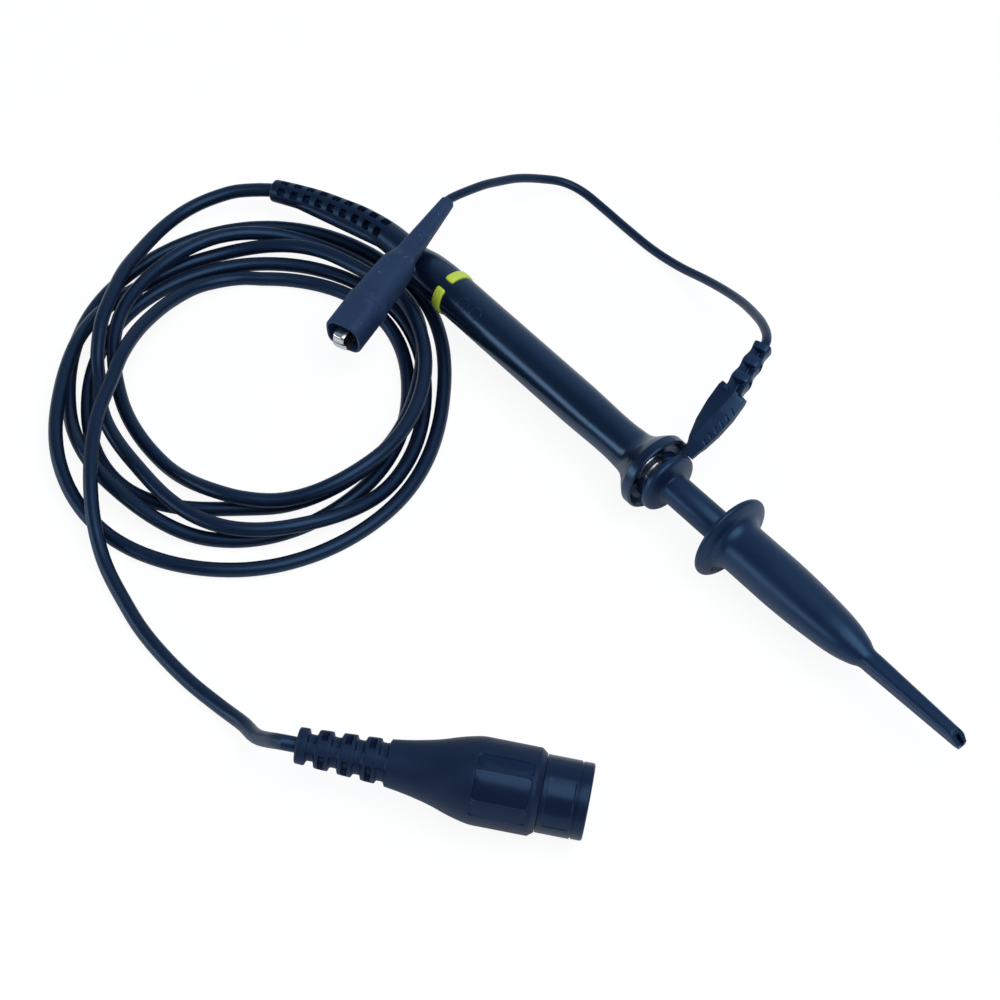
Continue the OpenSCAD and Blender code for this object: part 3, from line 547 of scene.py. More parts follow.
def gripSkin(g):
    # radius(s) from a smooth outline, less the groove's depth where its mask is, except at the key
    r = g["radius"]
    outline = np.vstack([
        throughPoints([(g["tail"], 2.75, 0), (-95.1, 3.15, 0), (-93.1, 3.6, 0), (-90.6, r - 0.42, 0),
                       (-87.6, r - 0.12, 0), (-85.5, r, 0)], 8),
        throughPoints([(-43, r, 0), (-39, r - 0.1, 0), (-35, r - 0.22, 0), (-31.5, r - 0.22, 0),
                       (-29, r - 0.08, 0), (-26.5, r + 0.22, 0), (-24.7, r + 1.15, 0),
                       (-23.2, g["guardRadius"] - 1.0, 0), (-22.05, g["guardRadius"] - 0.1, 0)], 8)])
    ringTo = g["ringFrom"] + g["ringWidth"]
    s = np.unique(np.concatenate([spots(g["tail"], -85.6, 0.5),
                                  spots(-85.5, -81, 0.4, (g["ringFrom"], ringTo)),
                                  spots(-80.8, -43.2, 1.2), spots(-43, -22.05, 0.25)]))
    key = np.array([g["keyMiddle"] - g["keyWidth"] / 2, g["keyMiddle"] + g["keyWidth"] / 2])
    angle = turns(spots(-180, 180, 3.0, key, 0.8)[:-1])[None, :]
    groove = bandMask(s, g["ringFrom"], ringTo, 0.1)[:, None]
    keyMask = bandMask(np.degrees(angle), key[0], key[1], 1.6)
    reach = np.interp(s, outline[:, 0], outline[:, 1])[:, None] - g["ringDepth"] * groove * (1 - keyMask)
    back = roundedLine([(-92.5, 2.2), (g["tail"], 2.2, 0.2), (g["tail"], 2.7, 0.15)])
    front = roundedLine([
        (-21.97, g["guardRadius"] - 0.03), (-21.9, g["guardRadius"], 0.06),
        (g["guardFront"] - 0.3, g["guardRadius"], 0.08), (g["guardFront"], g["guardRadius"] - 0.25, 0.08),
        (g["guardFront"], g["cupRadius"], 0.08), (g["guardFront"] - 0.5, g["cupRadius"] - 0.35, 0.4),
        (g["cupFloor"] + 0.5, g["cupRadius"] - 1.0, 0.7), (g["cupFloor"], g["cupRadius"] - 2.0, 0.7),
        (g["cupFloor"], 3.42, 0.2), (-31.9, 3.42, 0.2), (-31.9, 3.36), (-92.5, 3.36)])
    rows = [turnedRows(probeAxes, back, angle), shell(probeAxes, s[:, None], reach, angle),
            turnedRows(probeAxes, front, angle)]
    return addSkin(np.concatenate(rows), closedAlong=True)


dress(buildThing("grip", [gripSkin(grip)], 50), "probe", "grip_plastic", "handle_shell")


def markerSkin(g):
    # a rounded band carried round the groove, its width and reach drawn in at both ends
    first = turns(g["keyMiddle"] + g["keyWidth"] / 2 + 1)
    last = turns(g["keyMiddle"] - g["keyWidth"] / 2 - 1) + 2 * math.pi
    angle = spots(float(first), float(last), 0.06, (float(first), float(last)), 0.05)
    toEnd = np.minimum(angle - first, last - angle) * g["radius"]
    draw = quarterRound(toEnd / 0.5)
    around = fullTurn(40)
    middle, low, high = g["ringFrom"] + g["ringWidth"] / 2, g["radius"] - 0.63, g["radius"] + 0.34
    half = (g["ringWidth"] / 2 - 0.03 - 0.45 * draw)[:, None]
    rise = ((high - low) / 2 - 0.14 * draw)[:, None]
    reach = boxReach(around, rise, half, 3.6)
    s = middle - reach * np.sin(around)
    r = low + rise + reach * np.cos(around)
    return addSkin(shell(probeAxes, s, r, angle[:, None]), capFirst=True, capLast=True)


dress(buildThing("markerRing", [markerSkin(grip)]), "probe", "marker_plastic", "marker_ring")

# the boot of the cable
boot = dict(backRadius=3.25, frontRadius=2.4, length=36.0, bore=1.5, windows=9, windowLength=1.75,
            windowAngle=18.0, rows=(-16.5, 43.5), windowRadius=2.8)


def bootSkin(b):
    # a tube about the boot's path, radius falling evenly, less the depth of the windows where their mask is
    fine = throughPoints(bootPath, 24)
    run = np.concatenate([[0], np.cumsum(np.linalg.norm(np.diff(fine, axis=0), axis=1))])
    pitch = b["length"] / (b["windows"] + 2.4)
    middles = b["length"] - (np.arange(b["windows"]) + 0.9) * pitch
    ends = np.concatenate([middles - b["windowLength"] / 2, middles + b["windowLength"] / 2])
    u = spots(0.0, b["length"] - 0.45, 0.6, ends, 0.07)
    corner = np.linspace(0.1, math.pi / 2, 5)
    uOut = np.concatenate([u, b["length"] - 0.45 + 0.45 * np.sin(corner)])
    edges = np.array([m + d for m in b["rows"] for d in (-b["windowAngle"], b["windowAngle"])])
    theta = spots(-180, 180, 5.0, edges, 1.3)[:-1]
    radius = b["backRadius"] + (b["frontRadius"] - b["backRadius"]) * uOut / b["length"]
    radius[len(u):] -= 0.45 * (1 - np.cos(corner))
    x = uOut[:, None, None] - middles[None, None, :]
    mask = sum(boxMask(x, turns(theta - m)[None, :, None] * b["windowRadius"], b["windowLength"] / 2,
                       turns(b["windowAngle"]) * b["windowRadius"],
                       0.3, 0.12).max(axis=2) for m in b["rows"])
    reach = radius[:, None] - (radius[:, None] - b["bore"] - 0.06) * np.clip(mask, 0, 1)
    uAll = np.concatenate([uOut, [b["length"] - 0.3, 0.0]])
    inner = np.full((2, len(theta)), b["bore"] + 0.01)
    reach = np.vstack([reach, inner])
    middle = np.stack([np.interp(uAll, run, fine[:, k]) for k in range(3)], axis=1)
    aimAll = unit(np.stack([np.interp(np.clip(uAll + 0.4, 0, run[-1]), run, fine[:, k])
                            - np.interp(np.clip(uAll - 0.4, 0, run[-1]), run, fine[:, k]) for k in range(3)],
                            axis=1))
    side = unit(np.cross([0, 0, 1.0], aimAll))
    top = np.cross(aimAll, side)
    angle = turns(theta)[None, ::-1, None]
    reach = reach[:, ::-1, None]
    grid = middle[:, None] + reach * (np.cos(angle) * top[:, None] + np.sin(angle) * side[:, None])
    return addSkin(grid, closedAlong=True)


dress(buildThing("cableBoot", [bootSkin(boot)], 50), "probe", "boot_rubber", "cable_boot")
print("grip and boot made")

# the barrel and the carrier of the hook tip
barrel = dict(radius=3.38, nose=2.5, back=-29.5, step=-18.7, front=-3.5, bore=2.02)
dress(buildThing("groundBarrel", [turnedSkin(probeAxes, [
    (barrel["back"], barrel["bore"]), (barrel["back"], barrel["radius"], 0.2), (-22.0, barrel["radius"], 0.1),
    (-21.75, barrel["radius"] - 0.14, 0.1), (-21.5, barrel["radius"], 0.15),
    (-20.95, barrel["radius"] + 0.04, 0.4), (-20.4, barrel["radius"], 0.15),
    (-20.25, barrel["radius"] - 0.16, 0.08), (-20.1, barrel["radius"], 0.15),
    (-19.6, barrel["radius"] + 0.04, 0.4), (-19.1, barrel["radius"], 0.2),
    (-19.0, barrel["radius"] - 0.12, 0.05), (barrel["step"], barrel["radius"] - 0.12, 0.1),
    (barrel["step"], barrel["nose"], 0.1), (barrel["front"], barrel["nose"], 0.3),
    (barrel["front"], barrel["bore"], 0.1)])]), "probe", "barrel_metal", "ground_barrel")

carrier = dict(back=-18.3, dome=6.3, tube=3.15, front=4.0)


def carrierSkin(c):
    # dome and tube turned from one outline, with the bores for barrel, socket and stem
    domeLine = throughPoints([(c["back"] + k, c["dome"] - drop, 0) for k, drop in (
        (0.04, 0.28), (0.2, 0.06), (0.55, 0.0), (1.2, 0.06), (1.65, 0.45), (1.9, 1.1), (2.1, 1.9),
        (2.3, 2.65), (2.6, 3.08), (2.9, 3.15))], 6)[:, :2]
    corners = [(-14.0, 2.56), (c["back"], 2.56, 0.1), (c["back"], c["dome"] - 0.5, 0.1)]
    corners += [tuple(p) for p in domeLine]
    corners += [(c["front"] - 0.3, c["tube"]), (c["front"], c["tube"] - 0.3, 0.1), (c["front"], 1.03, 0.1),
                (c["front"] - 1, 1.03), (c["front"] - 1, 1.63), (-2.3, 1.63), (-2.3, 2.56)]
    return turnedSkin(probeAxes, corners, 112)


dress(buildThing("hookCarrier", [carrierSkin(carrier)], 45), "hook_tip", "hook_plastic", "hook_carrier")

# the sleeve that pulls the hook in
sleeve = dict(flange=8.9, radius=5.1, tip=60.0, boreRadius=3.27, chamberEnd=28.0, stemRadius=1.16,
              slotUp=1.0, slotAcross=0.45, slotDeep=12.0)


def sleeveSkin(v):
    # turned outline to the neck, then a rounded box whose half sizes fall to the tip. The last rows lie on
    # the slanting end face, and go back in as the slot.
    angle = fullTurn(112)
    r = v["radius"]
    lineBack = roundedLine([(v["chamberEnd"], v["boreRadius"]), (-0.6, v["boreRadius"], 0.15),
                            (-0.6, v["flange"] - 0.25, 0.2), (-0.35, v["flange"], 0.2),
                            (0.15, v["flange"], 0.2), (0.45, v["flange"] - 0.3, 0.2)])
    body = throughPoints([(0.55, v["flange"] - 0.45, 0), (1, r + 2.4, 0), (1.4, r + 1.2, 0),
                          (2.2, r + 0.4, 0), (3.4, r + 0.02, 0), (6, r, 0), (10, r, 0), (14, r, 0),
                          (19.5, r - 0.2, 0), (24, r - 0.5, 0), (28, r - 0.85, 0),
                          (31, r - 1.3, 0), (34, r - 2.1, 0), (36.2, r - 2.95, 0), (38.2, r - 3.22, 0),
                          (40.5, 1.72, 0), (46, 1.6, 0), (52, 1.5, 0), (60.4, 1.4, 0)], 8)[:, :2]
    s = np.concatenate([spots(0.55, 3.4, 0.15), spots(3.6, 30, 0.8), spots(30.3, 42, 0.3),
                        spots(42.5, 59.0, 0.8), spots(59.2, 60.0, 0.16)])
    turned = np.interp(s, body[:, 0], body[:, 1])[:, None]
    f = np.clip((s - 35.5) / 24.5, 0, 1)[:, None]
    halfUp, halfAcross = 1.85 - 0.38 * f, 1.95 - 0.62 * f - 0.3 * ease((s[:, None] - 58.9) / 1.2)
    slanted = boxReach(angle - math.pi / 4, 2.15 - 0.58 * f, 2.15 - 0.58 * f, 14.0)
    boxed = blendLess(boxReach(angle, halfUp, halfAcross, 14.0), slanted, 16.0)
    share = ease((s - 34.6) / 3.6)[:, None]
    reach = turned * (1 - share) + boxed * share
    up, across = reach * np.cos(angle), reach * np.sin(angle)

    def endFace(height):
        return v["tip"] - 1.257 * np.maximum(height + 0.3, 0)

    sGrid = np.minimum(np.broadcast_to(s[:, None], up.shape), endFace(up) - 0.02 * (s[-1] - s[:, None]))
    slot = boxReach(angle, v["slotUp"], v["slotAcross"], 8.0)
    rings = []
    for k in (0.12, 0.4, 0.7, 0.95, 1.0):
        ring = reach[-1:] * (1 - k) + slot * k
        rings.append(shell(probeAxes, endFace(ring * np.cos(angle)), ring, angle))
    for deep in (0.1, 0.8):
        rings.append(shell(probeAxes, endFace(slot * np.cos(angle)) - deep, slot, angle))
    rings.append(shell(probeAxes, v["tip"] - v["slotDeep"], slot, angle))
    inner = roundedLine([(v["tip"] - v["slotDeep"] - 0.3, v["stemRadius"]),
                         (v["chamberEnd"], v["stemRadius"], 0.1), (v["chamberEnd"], v["boreRadius"] - 0.1)])
    rows = [turnedRows(probeAxes, lineBack, angle), placed(probeAxes, sGrid, up, across)]
    rows += rings + [turnedRows(probeAxes, inner, angle)]
    return addSkin(np.concatenate(rows), closedAlong=True)


dress(buildThing("hookSleeve", [sleeveSkin(sleeve)], 40), "hook_grip", "hook_plastic", "hook_sleeve")

# the return spring, which shortens as the sleeve is pulled back; here it is built at one length
returnSpring = dict(radius=2.3, wire=0.27, start=4.35, stop=27.65, turns=9)


def springSkin(v):
    # a helix at an even turn, whose first and last turns lie nearly flat
    run = np.linspace(0, v["turns"], v["turns"] * 40 + 1)
    s = v["start"] + (v["stop"] - v["start"]) * np.interp(run, [0, 1, v["turns"] - 1, v["turns"]],
                                                          [0, 0.03, 0.97, 1])
    path = shell(probeAxes, s, v["radius"], 2 * math.pi * run)
    return addSkin(tubeGrid(path, v["wire"], 12, (1.0, 0, 0)), capFirst=True, capLast=True)


springThing = buildThing("returnSpring", [springSkin(returnSpring)])
springThing.data.materials.append(springSteel.material)
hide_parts("return_spring")
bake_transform(springThing)
print("hook tip made")

# the ground arm
arm = dict(rise=31.0, reach=21.8, ringIn=3.77, ringOut=5.17, ringBack=-20.9, ringFront=-18.6, opening=26.6,
           openHalf=33.0, ridges=6, markDeep=0.18)


def clawRing(c):
    # a rounded band carried round the barrel, its two ends narrowed to claws
    first, last = turns(c["opening"] + c["openHalf"]), turns(c["opening"] - c["openHalf"]) + 2 * math.pi
    angle = spots(float(first), float(last), 0.07, (float(first), float(last)), 0.06)
    toEnd = np.minimum(angle - first, last - angle) * c["ringOut"]
    claw = 1 - ease((toEnd - 0.9) / 0.25)
    tipped = quarterRound(toEnd / 0.35)
    around = fullTurn(32)
    half = ((c["ringFront"] - c["ringBack"]) / 2 - 0.42 * claw - 0.25 * tipped)[:, None]
    thick = ((c["ringOut"] - c["ringIn"]) / 2 - 0.12 * claw - 0.1 * tipped)[:, None]
    reach = boxReach(around, thick, half, 6.0)
    s = (c["ringBack"] + c["ringFront"]) / 2 - reach * np.sin(around)
    r = c["ringIn"] + thick + reach * np.cos(around)
    return addSkin(shell(probeAxes, s, r, angle[:, None]), capFirst=True, capLast=True)


armRise = math.radians(arm["rise"])
armOut = np.array([0, math.cos(armRise), math.sin(armRise)])
armAxes = axes((0, 0, axisHeight), armOut, (0, -math.sin(armRise), math.cos(armRise)))


def leafSkin(c):
    # sections across the leaf: a shallow keel below, and a roof whose ridge runs from the back edge towards
    # the front one as the leaf goes outwards, less slanting marks
    stops = np.array([4.9, 6.34, 6.4, 8.4, 9.6, 13, 17, 20.8, c["reach"]])
    backEdge = np.array([-19.5, -19.55, -19.58, -19.65, -20.3, -21.5, -22.3, -22.65, -22.5])
    frontEdge = np.array([-18.5, -18.5, -16.95, -16.65, -16.35, -15.95, -15.9, -16.3, -16.6])
    halfThick = np.array([0.85, 0.9, 0.95, 1.1, 1.25, 1.45, 1.55, 1.6, 1.6])
    rho = spots(4.9, c["reach"], 0.14, (6.37, c["reach"]), 0.05)
    low, high, thick = (np.interp(rho, stops, line)[:, None] for line in (backEdge, frontEdge, halfThick))
    bevel = 0.18
    ridgeAt = low + (high - low) * np.interp(rho, [6.5, 9.6, 13, 17, c["reach"]],
                                             [0.10, 0.30, 0.42, 0.55, 0.66])[:, None]
    corners = [(low, -0.75 * thick), (low, 0.55 * thick), (ridgeAt, thick), (high, 0.15 * thick),
               (high, -0.75 * thick), (ridgeAt, -thick)]
    sides = []
    for k, (s, w) in enumerate(corners):
        s2, w2 = corners[(k + 1) % len(corners)]
        steps = 26 if k == 2 else 6
        f = np.concatenate([[0.02, 0.06], np.linspace(0.1, 0.9, steps), [0.94, 0.98]])[None, :]
        sides.append(np.stack([s + (s2 - s) * f, w + (w2 - w) * f], axis=-1))
    section = np.concatenate(sides, axis=1)
    s, w = section[..., 0], section[..., 1]
    lean = 0.58 * (s + 16.9)
    cut = sum(boxMask(s + 16.9 - 0.07 * k, rho[:, None] - (10.5 + 1.61 * k) + lean, 0.55, 0.12, 0.1, 0.13)
              for k in range(c["ridges"])) * (w > 0)
    w = w - c["markDeep"] * cut
    front = bevel * quarterRound((c["reach"] - rho) / bevel)[:, None]
    middle = (low + high) / 2
    s, w = middle + (s - middle) * (1 - front / 3), w * (1 - front / 1.6)
    return addSkin(placed(armAxes, rho[:, None], w, s), capFirst=True, capLast=True)


dress(buildThing("groundArm", [clawRing(arm), leafSkin(arm)], 28), "ground_arm", "hook_plastic",
      "ground_collar")

relief = dict(up=3.6, across=4.0, topSlots=((-2.0, 1.6), (3.8, 5.7), (8.2, 9.8)),
              sideSlots=((2.05, 3.15), (6.4, 7.55)), topFloor=0.4, sideFloor=1.2)


def leadReliefSkin(v):
    # a rounded box less its pockets, which open at top and bottom and, between those, at both sides
    where = axes(reliefFrom, reliefAim)
    u = spots(-1.2, 11.35, 0.35, np.array(v["topSlots"] + v["sideSlots"]).ravel(), 0.12)
    angle = fullTurn(120)
    top = sum(bandMask(u, start, stop, 0.26) for start, stop in v["topSlots"])[:, None]
    side = sum(bandMask(u, start, stop, 0.26) for start, stop in v["sideSlots"])[:, None]
    onTop = ease((np.abs(np.cos(angle)) - 0.66) / 0.08 + 0.5)
    onSide = ease((np.abs(np.sin(angle)) - 0.90) / 0.05 + 0.5)
    swell = 1 - 0.012 * u[:, None] + 0.07 * np.cos((u[:, None] - 2.6) / 4.35 * 2 * math.pi)
    full = boxReach(angle, v["up"] / 2, v["across"] / 2, 4.0) * swell
    reach = full - (full - v["topFloor"]) * top * onTop - (full - v["sideFloor"]) * side * onSide
    rows = [shell(where, u[:, None], reach, angle)]
    last = roundedLine([(11.35, 1.25), (11.7, 1.2, 0.1), (11.7, 0.99, 0.05), (11.2, 0.99)])
    rows.append(turnedRows(where, last, angle))
    return addSkin(np.concatenate(rows), capFirst=True, capLast=True)


dress(buildThing("leadRelief", [leadReliefSkin(relief)], 40), "ground_arm", "hook_plastic", "lead_relief")
print("ground arm made")

# the clip
clipAxes = axes(clipTail, clipAim)
clipBoot = dict(length=40.6, ring=31.1, room=3.15, roomAcross=2.6, deep=21.0)


def clipBootSkin(v):
    # sections that start nearly round, swell past the shoulder and end square: the lesser of a circle and
    # a box. The mouth goes back in as a room for the jaws.
    outline = throughPoints([(0.0, 1.5, 0), (5, 1.82, 0), (10, 2.12, 0), (15, 2.45, 0), (17, 2.7, 0),
                             (18.6, 3.3, 0), (20.4, 3.82, 0), (24, 4.0, 0), (28, 4.2, 0), (30.6, 4.32, 0)],
                             8)[:, :2]
    angle = fullTurn(96)
    s = np.concatenate([spots(0.25, 16, 0.7), spots(16.3, 22, 0.25), spots(22.5, 30.6, 0.8)])
    radius = np.interp(s, outline[:, 0], outline[:, 1])[:, None]
    squared = 1.04 - 0.02 * ease((s - 16) / 5)[:, None]
    tail = blendLess(radius * squared, boxReach(angle, radius * 0.99, radius * 0.99, 5.0))
    rows = [shell(clipAxes, along, r, angle) for along, r in ((0.3, 0.98), (0.0, 1.08), (0.0, 1.32))]
    rows.append(shell(clipAxes, s[:, None], tail, angle))
    ringLine = roundedLine([(30.7, 4.3), (v["ring"] - 0.05, 4.32, 0.1), (v["ring"], 4.6, 0.12),
                            (v["ring"] + 1.1, 4.6, 0.2), (v["ring"] + 1.25, 4.42, 0.1),
                            (v["ring"] + 1.5, 4.4)])
    rows.append(turnedRows(clipAxes, ringLine, angle))
    rounding, corner = 0.4, turns(np.arange(15, 91, 25))
    straight = spots(v["ring"] + 1.7, v["length"] - rounding, 0.8)
    sFront = np.concatenate([straight, v["length"] - rounding + rounding * np.sin(corner)])
    edge = np.concatenate([np.zeros(len(straight)), rounding * (1 - np.cos(corner))])
    share = ease((sFront - v["ring"] - 1.3) / 1.6)[:, None]
    circle = 4.42 + 0.1 * share
    boxed = blendLess(circle, boxReach(angle, 3.92, 4.05, 8.0), 16)
    reach = circle * (1 - share) + boxed * share - 0.8 * edge[:, None]
    rows.append(shell(clipAxes, sFront[:, None], reach, angle))
    room = blendLess(np.full_like(angle, 3.42), boxReach(angle, v["room"], v["roomAcross"], 7.0), 14)
    mouth = blendLess(np.full_like(angle, 3.8), boxReach(angle, 3.42, 3.42, 7.0), 14)
    for s1, share1, grow in ((0.0, 1, 0.12), (-0.12, 1, 0.03), (-0.4, 1, 0), (-3.5, 0.8, 0), (-5.0, 0, 0)):
        rows.append(shell(clipAxes, v["length"] + s1, mouth * share1 + room * (1 - share1) + grow, angle))
    rows.append(shell(clipAxes, v["deep"], room, angle))
    rows.append(shell(clipAxes, v["deep"] - 0.05, room * 0.35, angle))
    rows.append(shell(clipAxes, v["deep"] - 0.3, np.full_like(angle, 0.98), angle))
    return addSkin(np.concatenate(rows), closedAlong=True)


clipBootThing = buildThing("clipBoot", [clipBootSkin(clipBoot)], 40)
dress(clipBootThing, "probe", "clip_rubber", "clip_boot")
jaws = dict(pin=29.6, back=21.5, plate=0.4)


def jawSkins(v, side, half, plateUp, earIn, front):
    # a bent sheet: straight plate, then its tip turned inwards, with an ear at each side of the pin
    bend = roundedLine([(v["back"], plateUp), (v["back"] + 6, plateUp - 0.05, 1.0),
                        (front - 0.1, plateUp, 0.45), (front + 0.16, 0.12)])
    tangent = unit(np.gradient(bend, axis=0))
    inwards = np.stack([tangent[:, 1], -tangent[:, 0]], axis=1)
    width = half * (1 - 0.14 * ease((bend[:, 0] - front + 1.2) / 1.2))
    around = fullTurn(28)
    reach = boxReach(around, v["plate"] / 2, width[:, None], 7.0)
    off = reach * np.cos(around)
    s = bend[:, :1] - inwards[:, :1] * off
    up = bend[:, 1:2] + v["plate"] / 2 - inwards[:, 1:2] * off
    sheet = placed(clipAxes, s, side * up, side * reach * np.sin(around))
    skins = [addSkin(sheet, capFirst=True, capLast=True)]
    for ear in (-1, 1):
        low, high = sorted((ear * earIn, ear * (earIn + 0.3)))
        up0, up1 = sorted((side * (plateUp + 0.15), side * -0.6))
        skins.append(roundedBoxSkin(clipAxes, v["pin"] - 2, v["pin"] + 2, up0, up1, low, high, 0.08))
    return skins


lowerJawThing = buildThing("lowerJaw", jawSkins(jaws, -1, 1.9, 1.9, 1.6, 41.9))
dress(lowerJawThing, "probe", "jaw_steel", "clip_jaw_lower")
upperJawThing = buildThing("upperJaw", jawSkins(jaws, 1, 1.4, 1.6, 1.0, 42.1))
dress(upperJawThing, "clip_jaw", "jaw_steel", "clip_jaw_upper")
print("clip made")

# the plug
plugAxes = axes(plugAt, plugAim)
plugShape = dict(rim=7.0, fluteRadius=7.9, fluteFront=9.6, taperBack=36.0, back=52.5, fluteTurn=37.1,
                 flutes=((-33.9, 11.1), (-0.65, 22.1), (33.8, 12.2)), gaps=4, gap=1.5, panelAngle=39.0,
                 panelDepth=0.09)


def housingSkin(v):
    # taper and grip turned from one outline, less three shallow panels on each of two sides, with thin ridges
    # between them
    f = v["fluteRadius"]
    outline = throughPoints([(-36, 4.25, 0), (-33, 4.7, 0), (-30, 5.3, 0), (-27.2, 6.0, 0), (-24.6, 6.85, 0),
                             (-22.4, 7.45, 0), (-20.6, f - 0.08, 0), (-19.5, f + 0.02, 0)], 8)
    outline = np.vstack([outline, [(-v["fluteFront"] - 0.35, f, 0)]])
    s = np.concatenate([spots(-v["taperBack"], -22, 0.6), spots(-21.9, -9.97, 0.35, (-20.4, -10.35), 0.1)])
    middles = (np.array([0, 180])[:, None] + v["fluteTurn"] + np.array(v["flutes"])[:, 0]).ravel()
    halves = np.tile(np.array(v["flutes"])[:, 1], 2)
    edges = np.concatenate([middles - halves + 1, middles + halves - 1]) % 360
    angle = spots(0, 360, 2.5, np.sort(edges), 1.0)[:-1]
    away = awayFrom(angle, middles)
    masks = boxMask(s[:, None, None] + 15.38, turns(away) * f, 5.03, turns(halves) * f - 0.14, 0.5, 0.14)
    hollow = 0.16 + 0.06 * (1 - (away / halves) ** 2)
    base = np.interp(s, outline[:, 0], outline[:, 1])[:, None]
    reach = base - (masks * np.maximum(hollow, 0)).sum(axis=2)
    a = turns(angle)[None, :]
    back = roundedLine([(-20.5, 1.53), (-v["taperBack"], 1.53), (-v["taperBack"], 4.1, 0.1),
                        (-v["taperBack"] + 0.1, 4.25)])
    front = roundedLine([(-v["fluteFront"] - 0.25, f, 0.1), (-v["fluteFront"], f - 0.04, 0.2),
                         (-8.64, 7.1, 0.06), (-8.56, 7.0, 0.03), (-8.56, 6.62), (-9.0, 6.62),
                         (-9.0, 5.03, 0.1), (-20.5, 5.03)])
    rows = [turnedRows(plugAxes, back, a), shell(plugAxes, s[:, None], reach, a),
            turnedRows(plugAxes, front, a)]
    polish = np.concatenate([np.zeros((len(back), len(angle))), masks.max(axis=2),
                             np.zeros((len(front), len(angle)))])
    return addSkin(np.concatenate(rows), closedAlong=True), polish.ravel()


def bayonetSkin(v):
    # the turning collar: a ring with two shallow panels, and a step behind its rim
    f = v["rim"]
    s = spots(-8.3, -2.45, 0.4, (-7.6, -2.75), 0.08)
    middles = np.array([45.0, 225.0])
    edges = np.concatenate([middles - v["panelAngle"], middles + v["panelAngle"]])
    angle = spots(0, 360, 3.0, np.sort(edges), 0.7)[:-1]
    away = awayFrom(angle, middles)
    masks = boxMask(s[:, None, None] + 5.17, turns(away) * f, 2.43, turns(v["panelAngle"]) * f, 0.55, 0.16)
    mask = masks.max(axis=2)
    a = turns(angle)[None, :]
    back = roundedLine([(-8.9, 5.62), (-8.9, 6.56), (-8.5, 6.56), (-8.5, f - 0.08, 0.04), (-8.4, f, 0.04)])
    front = roundedLine([(-2.35, f, 0.03), (-2.3, f - 0.05, 0.03), (-2.28, f - 0.25, 0.05),
                         (-2.02, f - 0.25, 0.05), (-2.0, f - 0.08, 0.05), (-0.28, f - 0.06, 0.15),
                         (0, f - 0.3, 0.15), (0, 5.62, 0.08)])
    rows = [turnedRows(plugAxes, back, a), shell(plugAxes, s[:, None], f - v["panelDepth"] * mask, a),
            turnedRows(plugAxes, front, a)]
    share = 0.6  # polish of the rim, rising to 1 in the panels
    polish = np.concatenate([np.full((len(back), len(angle)), share), share + (1 - share) * mask,
                             np.full((len(front), len(angle)), share)])
    return addSkin(np.concatenate(rows), closedAlong=True), polish.ravel()


def plugReliefSkin(v):
    # a slim cone less its gaps, which leave two bridges and a core that thickens towards the housing
    pitch = (v["back"] - v["taperBack"] - 3.7) / (v["gaps"] - 1)
    starts = -v["back"] + 2 + pitch * np.arange(v["gaps"])
    ends = np.concatenate([starts, starts + v["gap"], starts + pitch / 2 + 0.2, starts + pitch / 2 + 1.2])
    s = spots(-v["back"] + 0.35, -v["taperBack"] + 0.2, 0.4, ends, 0.16)
    bridges = np.array([32.0, 212.0])
    half = 17.0
    windows, wide = np.array([-18.0, 84.0, 162.0, 264.0]), np.array([20.0, 32.0, 20.0, 32.0])
    lines = np.concatenate([bridges - half, bridges + half, windows - wide, windows + wide]) % 360
    angle = spots(0, 360, 4.0, np.sort(lines), 1.4)[:-1]
    away = np.abs(awayFrom(angle, bridges)).min(axis=2)
    bridge = 1 - ease((away - half) / 3 + 0.5)
    base = 3.25 + 0.95 * (s + v["back"]) / (v["back"] - v["taperBack"])
    deep = np.zeros((len(s), 1))
    hollow = np.zeros((len(s), len(angle)))
    toWindow = turns(awayFrom(angle, windows)) * 3.6
    for k, start in enumerate(starts):
        deep = deep + bandMask(s, start, start + v["gap"], 0.5)[:, None] * (base[:, None] - 2.4 - 0.35 * k)
        middle = start + v["gap"] + (pitch - v["gap"]) / 2
        hollow += boxMask(s[:, None, None] - middle, toWindow, 0.48, turns(wide) * 3.6, 0.15, 0.2).max(axis=2)
    reach = (base[:, None] - deep * (1 - bridge) - 0.32 * bridge * np.minimum(deep, 1)
             - 1.25 * np.clip(hollow, 0, 1))
    a = turns(angle)[None, :]
    back = roundedLine([(-v["back"] + 2, 1.51), (-v["back"], 1.51, 0.1), (-v["back"], 3.0, 0.2),
                        (-v["back"] + 0.25, 3.26)])
    rows = [turnedRows(plugAxes, back, a), shell(plugAxes, s[:, None], reach, a),
            shell(plugAxes, -v["taperBack"] + 0.2, 1.51, a)]
    return addSkin(np.concatenate(rows), closedAlong=True)


def cordThing(name, line, radius, sides):
    # a round tube along the line, closed at both ends
    return buildThing(name, [addSkin(tubeGrid(line, radius, sides), capFirst=True, capLast=True)])


def polished(name, skin, share):
    # the share of polish at each point, which the plastic reads
    thing = buildThing(name, [skin], 40)
    thing.data.attributes.new("polish", "FLOAT", "POINT").data.foreach_set("value", share)
    return thing


housingThing = polished("plugHousing", *housingSkin(plugShape))
dress(housingThing, "probe", "plug_plastic", "plug_housing")
bayonetThing = polished("bayonetCollar", *bayonetSkin(plugShape))
dress(bayonetThing, "plug_nut", "plug_plastic", "bayonet_collar")
plugReliefThing = buildThing("plugRelief", [plugReliefSkin(plugShape)], 40)
dress(plugReliefThing, "probe", "plug_plastic", "plug_relief")
print("plug made")

# the cords
cableThing = cordThing("probeCable", cableLine, cable["radius"], 24)
dress(cableThing, "probe", "cable_jacket", "cable_lead_in", "cable_coil", "cable_tail")

